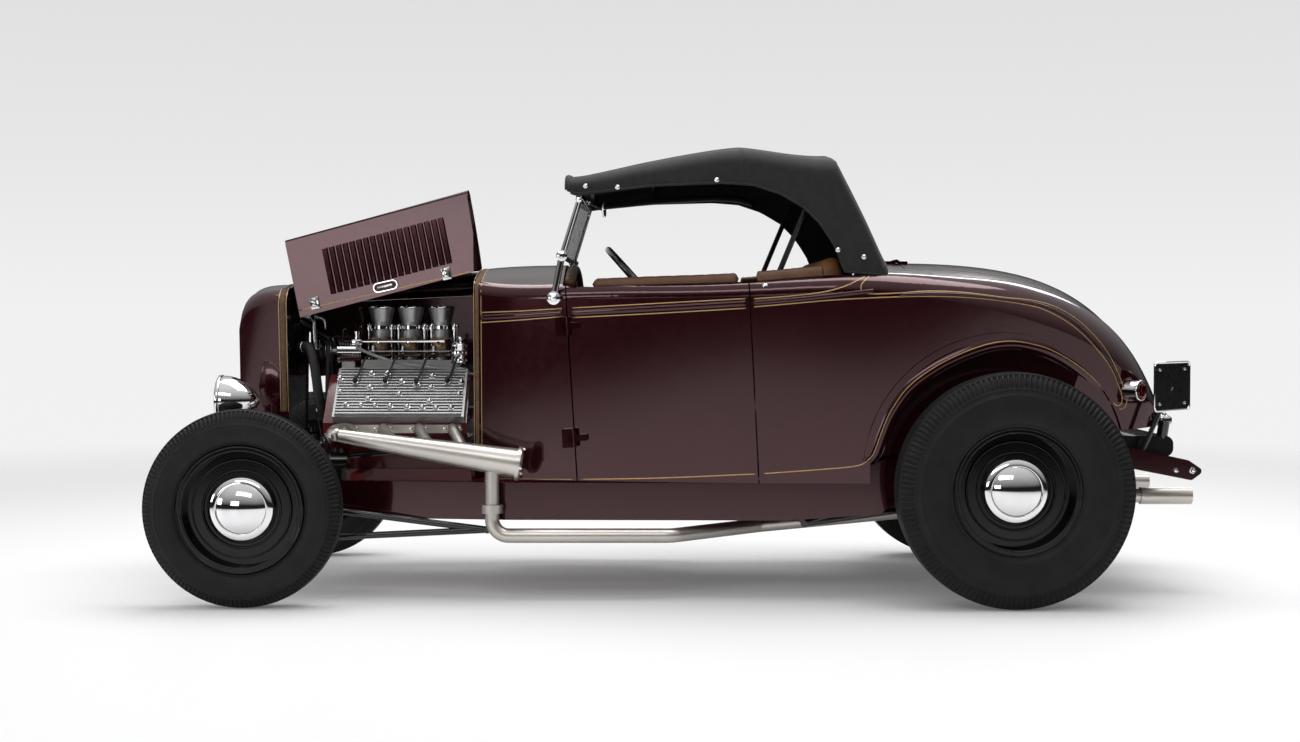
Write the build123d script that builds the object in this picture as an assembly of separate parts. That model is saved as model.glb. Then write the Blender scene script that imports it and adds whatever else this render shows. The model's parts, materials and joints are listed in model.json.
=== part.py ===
from build123d import *
import math
import os

# A fenderless street rod roadster: hood half raised, soft top up. Millimetres, front towards -X, +Z up.
# Stations are millimetres rearward of the front axle, offsets are from the centre plane, heights from the floor.

# Wheels and overall layout
WHEELBASE = 2692
TAIL_REACH = 741
FRONT_TRACK_HALF = 711
REAR_TRACK_HALF = 725
FRONT_TYRE_RADIUS = 348
REAR_TYRE_RADIUS = 413
FRONT_TYRE_WIDTH = 140
REAR_TYRE_WIDTH = 205
RIM_RADIUS = 207
RIM_FLANGE = 15
RIM_WALL = 6
HUB_RADIUS = 38
HUBCAP_RADIUS = 100
HUBCAP_RISE = 46
SPINDLE_RADIUS = 16
RUNNING_FIT = 0.3

# Frame
RAIL_WIDTH = 50
RAIL_TOP = 418
RAIL_BOTTOM = 283
KICK_TOP = 600
KICK_BOTTOM = 525
HORN_TIP_HEIGHT = 459
HORN_HOLE_SPACING = 63
HORN_HOLE_INSET = 48
HORN_HOLE_HEIGHT = 462
HORN_HOLE_RADIUS = 6

# Front suspension and steering
KINGPIN_OFFSET = 600
KINGPIN_RADIUS = 11
BOSS_HALF = 26
AXLE_TUBE_RADIUS = 20
AXLE_DROP = 56
STEER_ARM = 150
LINK_RADIUS = 10
EYE_RADIUS = 17
EYE_HALF = 11
STEER_PIN_RADIUS = 6
TIE_ROD_HEIGHT = 262
DRAG_LINK_HEIGHT = 300
ARM_LOW = 275
ARM_HIGH = 287
BOX_OFFSET = 240
BOX_FRONT = 225
SECTOR_RADIUS = 14
PITMAN_TIP = 14
PITMAN_PIVOT = DRAG_LINK_HEIGHT + EYE_HALF + RUNNING_FIT + PITMAN_TIP + STEER_ARM
COLUMN_JOINT = (738, -318, 540)
WHEEL_CENTRE = (1393, -312, 1125)
COLUMN_GAP = 12
COLUMN_RADIUS = 19
COLUMN_CLEAR = 0.5
HAIRPIN_LOW = 205
HAIRPIN_HIGH = 350
ROD_RADIUS = 12
HAIRPIN_OFFSET = 468
HAIRPIN_JOINT = (833, 465, 244)
LADDER_JOINT = (1985, 420, 261)

# Rear suspension
REAR_TUBE_RADIUS = 40
BANJO_RADIUS = 135
LEAF_WIDTH = 50
LEAF_STACK = 38
CROSSMEMBER_BOTTOM = 334
CROSSMEMBER_TOP = 406
FRONT_SPRING_STATION = 70
SPRING_SPAN = 420
PERCH_TOP = 283

# Body
WALL = 30
OPEN_BELOW = 90
CROWN = 1222
BODY_BOTTOM = 429
SILL_GAP = 6
DOOR_FRONT = 1157
DOOR_REAR = 1814
FRONT_SEAM_LEAN = 0.0586
REAR_SEAM_LEAN = 0.0538
DOOR_GAP = 5
DOOR_TOP_FRONT = 1124
DOOR_TOP_REAR = 1142
QUARTER_TOP = 1172
QUARTER_TOP_STATION = 2109
COCKPIT_REAR = 2262
DASH = 1108
DASH_BOTTOM = 1000
LID_FRONT = 2345
LID_FRONT_HALF = 430
LID_REAR = 3170
LID_REAR_HEIGHT = 970
LID_REAR_HALF = 290
LID_GAP = 5
LID_SKIN = 10
LID_STEP = 12
LID_HINGE_OFFSET = 180
LID_AXIS_HEIGHT = 1224.5
DOOR_AXIS_OFFSET = 517
DOOR_HINGE_HEIGHTS = (580, 984)
HINGE_LENGTH = 66
HINGE_LEAF = 44
HINGE_BARREL = 7
HINGE_DEPTH = 40
ARCH_STATION = 2680
ARCH_HEIGHT = 460
ARCH_RADIUS = 475
TUB_OFFSET = 545
TUB_WALL = 12
LIP_WIDTH = 25
LIP_RISE = 8
FLOOR_TOP = 444
TRUNK_FLOOR = 652
FLOOR_CLEAR = 8
SEAT_BACK = 1940
SEAT_TOP = 1225
SEAT_HALF = 500

# Body sections: station, bottom, half width at the foot, half width, shoulder, its run and rise, crown
BODY = [
    (779, 412, 372, 395, 1103, 60, 55, 1197),
    (1054, 412, 462, 490, 1082, 48, 56, 1213),
    (1450, 412, 535, 572, 1084, 36, 56, 1218),
    (1800, 412, 580, 622, 1090, 36, 60, CROWN),
    (2200, 412, 596, 638, 1096, 50, 76, CROWN),
    (2545, 530, 592, 632, 1062, 110, 96, 1216),
    (2777, 572, 565, 603, 1002, 150, 130, 1189),
    (2971, 602, 520, 553, 930, 168, 138, 1127),
    (3125, 608, 465, 492, 830, 175, 138, 1022),
    (3241, 612, 405, 425, 712, 165, 110, 868),
    (3325, 614, 330, 340, 625, 90, 15, 650),
]
# The last section of the space inside the tail, and each section's drop of the roof as shares of the wall
TAIL_SPACE = (3282, 600, 370, 385, 650, 120, 50, 770)
ROOF_DROP = [1, 1, 1, 1, 1, 1, 1.05, 1.2, 1.6, 2.4, 2.2]

# Nose sections, with the body's columns
NOSE = [
    (-125, 462, 150, 185, 965, 100, 60, 1042),
    (-78, 440, 168, 215, 1040, 100, 60, 1119),
    (3, RAIL_TOP, 175, 235, 1063, 100, 57, 1138),
    (64, RAIL_TOP, 178, 238, 1068, 100, 56, 1142),
]
SHELL_WALL = 14
GRILLE_PITCH = 15
LAMP_CENTRE = (-134, 430, 712)
LAMP_RADIUS = 90
LENS_RADIUS = 80
LENS_DEPTH = 10

# Hood
HOOD_SEAM = 4
HOOD_THICK = 8
HOOD_GAP = 9
HOOD_RAISE = 58
HINGE_RADIUS = HOOD_GAP - 0.5
EDGE_DROP = 2
SIDE_TOP = 8
SIDE_HEIGHT = 282
# The side's rear edge, stepped forward going down so that it clears the cowl on its way up: drop, step
SIDE_REAR = [(8, 3), (150, 8), (290, 36)]
LOUVRE_COUNT = 18
LOUVRE_PITCH = 27
LOUVRE_HEIGHT = 173
LOUVRE_RISE = 9
LOUVRE_START = 134
# Sections of one half: station, half width, shoulder, its run and rise, crown
HOOD = [
    (NOSE[-1][0] + HOOD_SEAM, *NOSE[-1][3:]),
    (BODY[0][0] - HOOD_SEAM, *BODY[0][3:]),
]

# Engine
ENGINE_FRONT = 215
ENGINE_REAR = 745
VALLEY = 770
DECK_INNER = (165, 797)
DECK_OUTER = (337, 625)
PORT_LOW = 588
CRANK_HEIGHT = 520
SUMP_BOTTOM = 335
GEARBOX_TOP = 424
GEARBOX_BOTTOM = 262
GEARBOX_END = 1500
MOUNT_STATION = 350
HEAD_FRONT = 252
HEAD_REAR = 737
HEAD_THICK = 34
FIN_COUNT = 17
FIN_MARGIN = 9
FIN_THICK = 5
FIN_HEIGHT = 11
CARB_STATIONS = (386, 499, 617)
MANIFOLD_TOP = 850
STACK_FOOT = 962
STACK_TOP = 1053
STACK_RADIUS = 50
GENERATOR_HEIGHT = 884

# Exhaust
PORTS = (315, 440, 570, 695)
PORT_RADIUS = 21
PORT_SWEEP = 70
CONE_START = (308, 545, 592)
CONE_END = (946, 545, 492)
CONE_START_RADIUS = 24
CONE_END_RADIUS = 54
DOWN_SHARE = 0.86
RUN_HEIGHT = 232
RUN_RADIUS = 26
RUN_END = 1500
UNDER_AXLE = 312
TIP_OFFSET = 300
TIP_HEIGHT = 352
TIP_RADIUS = 32

# Windshield
WINDSHIELD_FOOT = (1107, 0, 1226)
WINDSHIELD_RAKE = 17
WINDSHIELD_HALF = 505
WINDSHIELD_HEIGHT = 243
WINDSHIELD_BAR = 15
STANCHION_FOOT = (1077, 512, 1084)

# Soft top sections, with the body's columns
TOP = [
    (1128, 1000, 514, 528, 1478, 70, 40, 1540),
    (1450, 1000, 566, 572, 1530, 75, 50, 1618),
    (1742, 1000, 590, 594, 1560, 78, 56, 1652),
    (2083, 1000, 600, 602, 1520, 84, 62, 1624),
    (2180, 1000, 600, 602, 1330, 84, 62, 1440),
    (2268, 1000, 596, 598, 1140, 84, 62, 1240),
]
TOP_CORNER = 3
TOP_DROP = [1, 1, 1, 1.2, 2.2, 2.2]
TOP_WALL = 12
TOP_LIP = 1458
TOP_SEAT = 0.5
IRON_FOOT = (1860, 1118)
IRON_HEAD = (2010, 1480)
IRON_OFFSET = 548
IRON_RADIUS = 10
STEERING_RADIUS = 185

# Tail
TANK_STATION = 3225
TANK_BOTTOM = 506
TANK_TOP = 582
TAIL_LAMP = (3172, 470, 750)
PLATE = (3310, -470, 765)
PLATE_SIZE = (6, 240, 170)
PLATE_TURN = -45
PLATE_FOOT = (3200, -470)

LENGTH = FRONT_TYRE_RADIUS + WHEELBASE + TAIL_REACH
FRONT_AXLE_X = FRONT_TYRE_RADIUS - LENGTH / 2
REAR_AXLE = WHEELBASE
TAIL = WHEELBASE + TAIL_REACH
REAR_SPRING_STATION = REAR_AXLE + 95
REAR_CROSS_RADIUS = 30
REAR_CROSS_HEIGHT = KICK_TOP - 34

os.makedirs("parts", exist_ok=True)


def at(station):
    """The X of a station."""
    return FRONT_AXLE_X + station


def point(station, offset, height):
    return Vector(at(station), offset, height)


def slab(s0, s1, y0, y1, z0, z1):
    """A block between two stations, two offsets and two heights."""
    block = Box(s1 - s0, y1 - y0, z1 - z0)
    return Pos(at((s0 + s1) / 2), (y0 + y1) / 2, (z0 + z1) / 2) * block


def rod(start, end, radius, end_radius=None):
    """A round bar between two points, tapered where the end has its own radius."""
    length = (end - start).length
    place = Plane(origin=start, z_dir=end - start).location * Pos(0, 0, length / 2)
    if end_radius is None or end_radius == radius:
        return place * Cylinder(radius, length)
    return place * Cone(radius, end_radius, length)


def pipe(points, radius, bend):
    """A round tube's outside along straight runs joined by bends."""
    path = FilletPolyline(*points, radius=bend)
    start = Plane(origin=path @ 0, z_dir=path % 0)
    return sweep(start * Circle(radius), path=path)


def outline(points, bend):
    if bend:
        return FilletPolyline(*points, radius=bend, close=True)
    return Polyline(*points, close=True)


def side_prism(points, y0, y1, bend=0):
    """An outline of (station, height) points seen from the side, with a width."""
    flat = make_face(outline([(at(s), z) for s, z in points], bend))
    return extrude(Plane.XZ.offset(-y1) * flat, amount=y1 - y0)


def plan_prism(points, z0, z1, bend=0):
    """An outline of (station, offset) points seen from above, with a height."""
    flat = make_face(outline([(at(s), y) for s, y in points], bend))
    return extrude(Plane.XY.offset(z0) * flat, amount=z1 - z0)


def turned(points):
    """A solid of revolution about Y from (radius, offset) points."""
    return revolve(make_face(Polyline(*points, close=True)), axis=Axis.Y)


def other_side(shape):
    return mirror(shape, about=Plane.XZ)


def both_sides(shape):
    return shape + other_side(shape)


def write(name, shape):
    export_step(shape if isinstance(shape, (Solid, Compound)) else Compound(shape), f"parts/{name}.step")


# Wheels, modelled about Y with their outer face towards +Y


def tyre(radius, width):
    bead = RIM_RADIUS + RUNNING_FIT
    bead_half = width * 0.40
    shoulder = radius - width * 0.12
    shoulder_half = width * 0.40
    lip = bead + RIM_FLANGE + RUNNING_FIT
    side = (lip + radius) / 2
    section = [
        Line((bead, -bead_half), (bead, bead_half)),
        Line((bead, bead_half), (lip, bead_half)),
        ThreePointArc((lip, bead_half), (side, width / 2), (shoulder, shoulder_half)),
        ThreePointArc((shoulder, shoulder_half), (radius, 0), (shoulder, -shoulder_half)),
        ThreePointArc((shoulder, -shoulder_half), (side, -width / 2), (lip, -bead_half)),
        Line((lip, -bead_half), (bead, -bead_half)),
    ]
    return revolve(make_face(section), axis=Axis.Y)


def wheel(width, disc_face, drum_depth):
    """Barrel with two flanges, stepped disc, brake drum and bored hub."""
    half = width * 0.40 + RUNNING_FIT
    flange = RIM_RADIUS + RIM_FLANGE
    inner = RIM_RADIUS - RIM_WALL
    barrel = turned([
        (inner, -half - RIM_WALL), (flange, -half - RIM_WALL), (flange, -half), (RIM_RADIUS, -half),
        (RIM_RADIUS, half), (flange, half), (flange, half + RIM_WALL), (inner, half + RIM_WALL),
    ])
    step = 9
    rings = [(inner + 1, 0), (176, 0), (168, step), (140, step), (132, 0), (HUBCAP_RADIUS + 14, 0)]
    front = [(r, disc_face + rise) for r, rise in rings] + [(HUBCAP_RADIUS, disc_face + step)]
    bore = SPINDLE_RADIUS + RUNNING_FIT
    back = [(r, u - RIM_WALL) for r, u in reversed(front)]
    disc = turned(front + [(bore, disc_face + step), (bore, disc_face + step - RIM_WALL)] + back)
    drum_radius = 150
    drum = turned([
        (bore, disc_face - 2), (drum_radius, disc_face - 2), (drum_radius, disc_face - drum_depth),
        (drum_radius - 10, disc_face - drum_depth), (drum_radius - 10, disc_face - 14), (HUB_RADIUS, disc_face - 14),
        (HUB_RADIUS, disc_face - drum_depth + 8), (bore, disc_face - drum_depth + 8),
    ])
    return barrel + disc + drum


def hubcap(disc_face):
    """A domed cap with one raised ring round it."""
    base = disc_face + 9 + RUNNING_FIT
    ring = 8
    rim = HUBCAP_RADIUS - 2
    foot = rim - 22
    rise = HUBCAP_RISE - ring
    ball = (foot ** 2 + rise ** 2) / (2 * rise)
    centre = base + HUBCAP_RISE - ball
    half_angle = math.asin(foot / ball) / 2
    middle = (ball * math.sin(half_angle), centre + ball * math.cos(half_angle))
    section = [
        Line((0, base), (rim, base)),
        Line((rim, base), (rim, base + ring)),
        ThreePointArc((rim, base + ring), (rim - 11, base + ring + 7), (foot, base + ring)),
        ThreePointArc((foot, base + ring), middle, (0, base + HUBCAP_RISE)),
        Line((0, base + HUBCAP_RISE), (0, base)),
    ]
    return revolve(make_face(section), axis=Axis.Y)


# name, station, half track, tyre radius, tyre width, disc face, drum depth
AXLE_SETS = [
    ("front", 0, FRONT_TRACK_HALF, FRONT_TYRE_RADIUS, FRONT_TYRE_WIDTH, 14, 58),
    ("rear", REAR_AXLE, REAR_TRACK_HALF, REAR_TYRE_RADIUS, REAR_TYRE_WIDTH, 30, 72),
]


def write_wheels():
    for end, station, track, radius, width, face, drum in AXLE_SETS:
        pieces = {"tyre": tyre(radius, width), "wheel": wheel(width, face, drum), "hubcap": hubcap(face)}
        for piece, shape in pieces.items():
            right = Pos(at(station), track, radius) * shape
            write(f"{piece}_{end}_right", right)
            write(f"{piece}_{end}_left", other_side(right))


# Frame: rails from a side profile crossed with a plan profile, then the members between them


def rail_plan(station):
    """The rail's outer face, read from its plan."""
    plan = [(-90, 350), (900, 495), (2000, 520), (2800, 520), (TAIL, 480)]
    for (s0, y0), (s1, y1) in zip(plan, plan[1:]):
        if station <= s1:
            return y0 + (y1 - y0) * (station - s0) / (s1 - s0)
    return plan[-1][1]


def rail_top(station):
    """The height of the tail horn's upper line."""
    return KICK_TOP + (HORN_TIP_HEIGHT + 38 - KICK_TOP) * (station - 2900) / (TAIL - 60 - 2900)


def frame():
    side = side_prism([
        (-90, RAIL_TOP - 14), (300, RAIL_TOP), (2080, RAIL_TOP), (2470, KICK_TOP), (2900, KICK_TOP),
        (TAIL - 60, HORN_TIP_HEIGHT + 38), (TAIL - 4, HORN_TIP_HEIGHT), (TAIL - 50, HORN_TIP_HEIGHT - 34),
        (2880, KICK_BOTTOM), (2530, KICK_BOTTOM), (2250, RAIL_BOTTOM + 22), (1900, RAIL_BOTTOM),
        (560, RAIL_BOTTOM), (60, RAIL_BOTTOM + 44), (-90, RAIL_BOTTOM + 56),
    ], 0, 700, bend=14)
    stations = [-90, 900, 2000, 2800, TAIL]
    outer = [(s, rail_plan(s)) for s in stations]
    inner = [(s, rail_plan(s) - RAIL_WIDTH) for s in reversed(stations)]
    rail = side & plan_prism(outer + inner, 0, 1000)
    for step in (0, 1):
        hole = TAIL - HORN_HOLE_INSET - step * HORN_HOLE_SPACING
        rail -= rod(point(hole, 300, HORN_HOLE_HEIGHT), point(hole, 700, HORN_HOLE_HEIGHT), HORN_HOLE_RADIUS)
    s, y, z = HAIRPIN_JOINT
    bracket = slab(s, s + 18, y - ROD_RADIUS, y + ROD_RADIUS, z + ROD_RADIUS + RUNNING_FIT, RAIL_BOTTOM + 4)
    s, y, z = LADDER_JOINT
    reach = rail_plan(s) - RAIL_WIDTH + 4
    hanger = slab(s - 26, s, y - 12, reach, z + ROD_RADIUS + RUNNING_FIT, RAIL_BOTTOM + 60)
    shape = both_sides(rail + bracket + hanger)
    # station, height, tube radius
    members = [
        (GEARBOX_END + 40, 302, 18), (LADDER_JOINT[0] - 55, 305, 18),
        (REAR_SPRING_STATION, REAR_CROSS_HEIGHT, REAR_CROSS_RADIUS), (TAIL - 160, HORN_TIP_HEIGHT + 20, 20),
    ]
    for station, height, radius in members:
        reach = rail_plan(station) - RAIL_WIDTH / 2
        shape += rod(point(station, -reach, height), point(station, reach, height), radius)
    reach = rail_plan(0) - RAIL_WIDTH / 2
    shape += slab(-44, 100, -reach, reach, CROSSMEMBER_BOTTOM, CROSSMEMBER_TOP)
    return shape


# Axles, knuckles, springs and rods. The right side is modelled and mirrored


def batwing():
    """The plate on the axle that takes the two ends of a hairpin rod."""
    y = HAIRPIN_OFFSET
    return slab(-14, 14, y - 9, y + 9, HAIRPIN_LOW - ROD_RADIUS, HAIRPIN_HIGH + ROD_RADIUS)


def front_axle():
    high = FRONT_TYRE_RADIUS
    low = high - AXLE_DROP
    knee = KINGPIN_OFFSET - 45
    bend_in = KINGPIN_OFFSET - 130
    beam = pipe([
        point(0, 10 - KINGPIN_OFFSET, high), point(0, -knee, high), point(0, -bend_in, low),
        point(0, bend_in, low), point(0, knee, high), point(0, KINGPIN_OFFSET - 10, high),
    ], AXLE_TUBE_RADIUS, 55)
    boss = rod(point(0, KINGPIN_OFFSET, high - BOSS_HALF), point(0, KINGPIN_OFFSET, high + BOSS_HALF), 24)
    perch = slab(0, FRONT_SPRING_STATION + 14, SPRING_SPAN - 8, SPRING_SPAN + 14, PERCH_TOP - 12, PERCH_TOP)
    bore_radius = KINGPIN_RADIUS + RUNNING_FIT
    bore = rod(point(0, KINGPIN_OFFSET, high - 60), point(0, KINGPIN_OFFSET, high + 60), bore_radius)
    return beam + both_sides(boss + perch + batwing()) - both_sides(bore)


def leaf_pack(station, centre_top, end_top, half_span, shackle_foot):
    """A transverse spring, thickest in the middle, with a shackle at each end."""
    end_stack = LEAF_STACK / 3
    flat = make_face([
        ThreePointArc((-half_span, end_top), (0, centre_top), (half_span, end_top)),
        Line((half_span, end_top), (half_span, end_top - end_stack)),
        ThreePointArc((half_span, end_top - end_stack), (0, centre_top - LEAF_STACK), (-half_span, end_top - end_stack)),
        Line((-half_span, end_top - end_stack), (-half_span, end_top)),
    ])
    pack = extrude(Plane.YZ.offset(at(station) - LEAF_WIDTH / 2) * flat, amount=LEAF_WIDTH)
    shackle = slab(station - 9, station + 9, half_span - 4, half_span + 8, shackle_foot, end_top - 2)
    return pack + both_sides(shackle)


def front_spring():
    end_top = PERCH_TOP + 18
    return leaf_pack(FRONT_SPRING_STATION, CROSSMEMBER_BOTTOM - RUNNING_FIT, end_top, SPRING_SPAN, PERCH_TOP + RUNNING_FIT)


def rear_spring():
    centre_top = REAR_CROSS_HEIGHT - REAR_CROSS_RADIUS - RUNNING_FIT
    perch = REAR_TYRE_RADIUS + 10 + RUNNING_FIT
    return leaf_pack(REAR_SPRING_STATION, centre_top, REAR_TYRE_RADIUS + 62, 500, perch)


def knuckle():
    """Ears and kingpin round the axle's boss, spindle, backing plate and steering arm."""
    k = KINGPIN_OFFSET
    high = FRONT_TYRE_RADIUS
    ear = BOSS_HALF + 2
    ear_top = ear + 16
    shape = rod(point(0, k, high - ear_top), point(0, k, high + ear_top), KINGPIN_RADIUS)
    for z0, z1 in ((high + ear, high + ear_top), (high - ear_top, high - ear)):
        shape += rod(point(0, k, z0), point(0, k, z1), 20) + slab(-20, 20, k, k + 45, z0, z1)
    shape += slab(-20, 20, k + 29, k + 45, high - ear_top, high + ear_top)
    plate = FRONT_TRACK_HALF - 56
    shape += rod(point(0, k + 40, high), point(0, plate + 1, high), 34)
    shape += rod(point(0, plate, high), point(0, plate + 6, high), 148)
    shape += rod(point(0, plate, high), point(0, FRONT_TRACK_HALF + 19, high), SPINDLE_RADIUS)
    shape += slab(-16, 16, k - 12, k + 12, ARM_LOW, high - ear_top + 2)
    shape += slab(0, STEER_ARM, k - 11, k + 11, ARM_LOW, ARM_HIGH)
    shape += rod(point(STEER_ARM, k, ARM_LOW), point(STEER_ARM, k, ARM_HIGH), EYE_RADIUS)
    return shape


def steer_pin(top):
    k = KINGPIN_OFFSET
    foot = TIE_ROD_HEIGHT - EYE_HALF
    return rod(point(STEER_ARM, k, foot), point(STEER_ARM, k, top), STEER_PIN_RADIUS)


def eye(offset, height):
    ring = rod(point(STEER_ARM, offset, height - EYE_HALF), point(STEER_ARM, offset, height + EYE_HALF), EYE_RADIUS)
    return ring


def eye_bore(offset, height):
    bore = STEER_PIN_RADIUS + RUNNING_FIT
    return rod(point(STEER_ARM, offset, height - 30), point(STEER_ARM, offset, height + 30), bore)


def tie_rod():
    k = KINGPIN_OFFSET
    shape = rod(point(STEER_ARM, -k, TIE_ROD_HEIGHT), point(STEER_ARM, k, TIE_ROD_HEIGHT), LINK_RADIUS)
    for end in (-k, k):
        shape = shape + eye(end, TIE_ROD_HEIGHT) - eye_bore(end, TIE_ROD_HEIGHT)
    return shape


def drag_link():
    k = KINGPIN_OFFSET
    start = point(STEER_ARM, -BOX_OFFSET, DRAG_LINK_HEIGHT)
    shape = rod(start, point(STEER_ARM, k, DRAG_LINK_HEIGHT), LINK_RADIUS) + eye(-BOX_OFFSET, DRAG_LINK_HEIGHT)
    return shape + eye(k, DRAG_LINK_HEIGHT) - eye_bore(k, DRAG_LINK_HEIGHT)


def pitman_arm():
    """Hangs from the box's sector shaft, its tip just above the drag link's eye."""
    front = STEER_ARM - 8
    back = STEER_ARM + 8
    tip = PITMAN_PIVOT - STEER_ARM
    shape = slab(front, back, -BOX_OFFSET - 11, -BOX_OFFSET + 11, tip, PITMAN_PIVOT)
    shape += rod(point(front, -BOX_OFFSET, tip), point(back, -BOX_OFFSET, tip), PITMAN_TIP)
    shape += rod(point(front, -BOX_OFFSET, PITMAN_PIVOT), point(back, -BOX_OFFSET, PITMAN_PIVOT), 22)
    bore = rod(point(front - 20, -BOX_OFFSET, PITMAN_PIVOT), point(back + 20, -BOX_OFFSET, PITMAN_PIVOT), SECTOR_RADIUS + RUNNING_FIT)
    return shape - bore


def steering_box():
    """The box on the left rail, its sector shaft, the jointed shaft and the column up to the wheel."""
    y = -BOX_OFFSET
    z = PITMAN_PIVOT
    shape = rod(point(STEER_ARM - 12, y, z), point(BOX_FRONT + 4, y, z), SECTOR_RADIUS)
    shape += rod(point(BOX_FRONT, y, z), point(BOX_FRONT + 70, y, z), 40)
    rail_face = RAIL_WIDTH - rail_plan(BOX_FRONT + 10) + RUNNING_FIT
    shape += slab(BOX_FRONT + 10, BOX_FRONT + 60, rail_face, y, z - 90, z - 20)
    shape += rod(point(BOX_FRONT + 35, y, z), point(BOX_FRONT + 35, y, z + 52), 24)
    inlet = point(BOX_FRONT + 60, y, z + 20)
    joint = point(*COLUMN_JOINT)
    head = point(*WHEEL_CENTRE)
    along = (head - joint).normalized()
    lead = (joint - inlet).normalized()
    shape += rod(inlet - lead * 20, joint + lead * 8, 10)
    shape += rod(joint - along * 10, head - along * COLUMN_GAP, 11)
    shape += rod(joint - lead * 30, joint + lead * 18, 18) + rod(joint - along * 18, joint + along * 30, 17.5)
    shape += rod(joint + along * 60, head - along * (COLUMN_GAP + 10), COLUMN_RADIUS)
    return shape


def front_radius_rods():
    s, y, z = HAIRPIN_JOINT
    joint = point(s, y, z)
    shape = rod(point(s, y - 18, z), point(s, y + 18, z), ROD_RADIUS + 0.01)
    for height in (HAIRPIN_LOW, HAIRPIN_HIGH):
        shape += rod(point(8, HAIRPIN_OFFSET, height), joint, ROD_RADIUS)
    return both_sides(shape - batwing())


def rear_axle():
    z = REAR_TYRE_RADIUS
    s = REAR_AXLE
    plate = REAR_TRACK_HALF - 54
    half = rod(point(s, 0, z), point(s, plate + 3, z), REAR_TUBE_RADIUS)
    half += rod(point(s, 0, z), point(s, 330, z), 96, REAR_TUBE_RADIUS)
    half += rod(point(s, plate, z), point(s, plate + 6, z), 150)
    half += rod(point(s, plate, z), point(s, REAR_TRACK_HALF + 35, z), SPINDLE_RADIUS)
    perch = REAR_SPRING_STATION + 14
    half += slab(s, perch, 490, 514, z - 10, z + 10)
    half += ladder_plate()
    banjo = rod(point(s - 75, 0, z), point(s - 20, 0, z), 70, BANJO_RADIUS)
    banjo += rod(point(s - 20, 0, z), point(s + 20, 0, z), BANJO_RADIUS)
    banjo += rod(point(s + 20, 0, z), point(s + 85, 0, z), BANJO_RADIUS, 60)
    pinion = rod(point(s - 190, 0, z - 10), point(s - 60, 0, z - 10), 42, 66)
    return both_sides(half) + banjo + pinion


def ladder_plate():
    y = LADDER_JOINT[1]
    z = REAR_TYRE_RADIUS
    return slab(REAR_AXLE - 58, REAR_AXLE, y - 10, y + 10, z - 76, z + 76)


def rear_radius_rods():
    s, y, z = LADDER_JOINT
    joint = point(s, y, z)
    shape = rod(point(s, y - 18, z), point(s, y + 18, z), ROD_RADIUS + 0.01)
    for rise in (-60, 60):
        shape += rod(joint, point(REAR_AXLE - 50, y, REAR_TYRE_RADIUS + rise), ROD_RADIUS)
    rung = 0.55
    middle = s + (REAR_AXLE - 50 - s) * rung
    low = z + (REAR_TYRE_RADIUS - 60 - z) * rung
    high = z + (REAR_TYRE_RADIUS + 60 - z) * rung
    shape += rod(point(middle, y, low), point(middle, y, high), 9)
    return both_sides(shape - ladder_plate())


def drive_shaft():
    z = REAR_TYRE_RADIUS - 10
    middle = (GEARBOX_TOP + GEARBOX_BOTTOM) / 2 + 16
    return rod(point(GEARBOX_END + 4, 0, middle), point(REAR_AXLE - 190 - RUNNING_FIT, 0, z), 34)


# Body: one lofted skin, cut at the door seams, the deck lid, the wheel arches and the cockpit


def body_section(row, inset, drop):
    """Flat sides, round shoulders and a crowned top, drawn across the car."""
    station, bottom, foot, half, shoulder, run, rise, crown = row
    half -= inset
    foot -= inset
    shoulder -= drop
    edge = half - run
    ridge = shoulder + rise
    soft = (half - 0.293 * run, shoulder + 0.707 * rise)
    flat = make_face([
        Line((-foot, bottom), (foot, bottom)),
        Line((foot, bottom), (half, shoulder)),
        ThreePointArc((half, shoulder), soft, (edge, ridge)),
        ThreePointArc((edge, ridge), (0, crown - drop), (-edge, ridge)),
        ThreePointArc((-edge, ridge), (-soft[0], soft[1]), (-half, shoulder)),
        Line((-half, shoulder), (-foot, bottom)),
    ])
    return Plane.YZ.offset(at(station)) * flat


def body_loft(inset):
    """The body's outside, or the space that lies an inset within it, open below."""
    if inset <= 0:
        return loft([body_section(row, inset, inset) for row in BODY])
    rows = [(BODY[0][0] + inset, *BODY[0][1:])] + BODY[1:-1] + [TAIL_SPACE]
    open_rows = [(row[0], row[1] - OPEN_BELOW, *row[2:]) for row in rows]
    drops = [inset * share for share in ROOF_DROP]
    return loft([body_section(row, inset, drop) for row, drop in zip(open_rows, drops)])


def front_seam(height):
    return DOOR_FRONT - (height - BODY_BOTTOM) * FRONT_SEAM_LEAN


def rear_seam(height):
    return DOOR_REAR - (height - BODY_BOTTOM) * REAR_SEAM_LEAN


def door_outline(gap):
    low = BODY_BOTTOM - 100
    high = CROWN + 100
    return [
        (front_seam(low) + gap, low), (rear_seam(low) - gap, low),
        (rear_seam(high) - gap, high), (front_seam(high) + gap, high),
    ]


def body_half(station):
    """The body's half width at its shoulder, between the sections."""
    for before, after in zip(BODY, BODY[1:]):
        if station <= after[0]:
            share = (station - before[0]) / (after[0] - before[0])
            return before[3] + (after[3] - before[3]) * share
    return BODY[-1][3]


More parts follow.
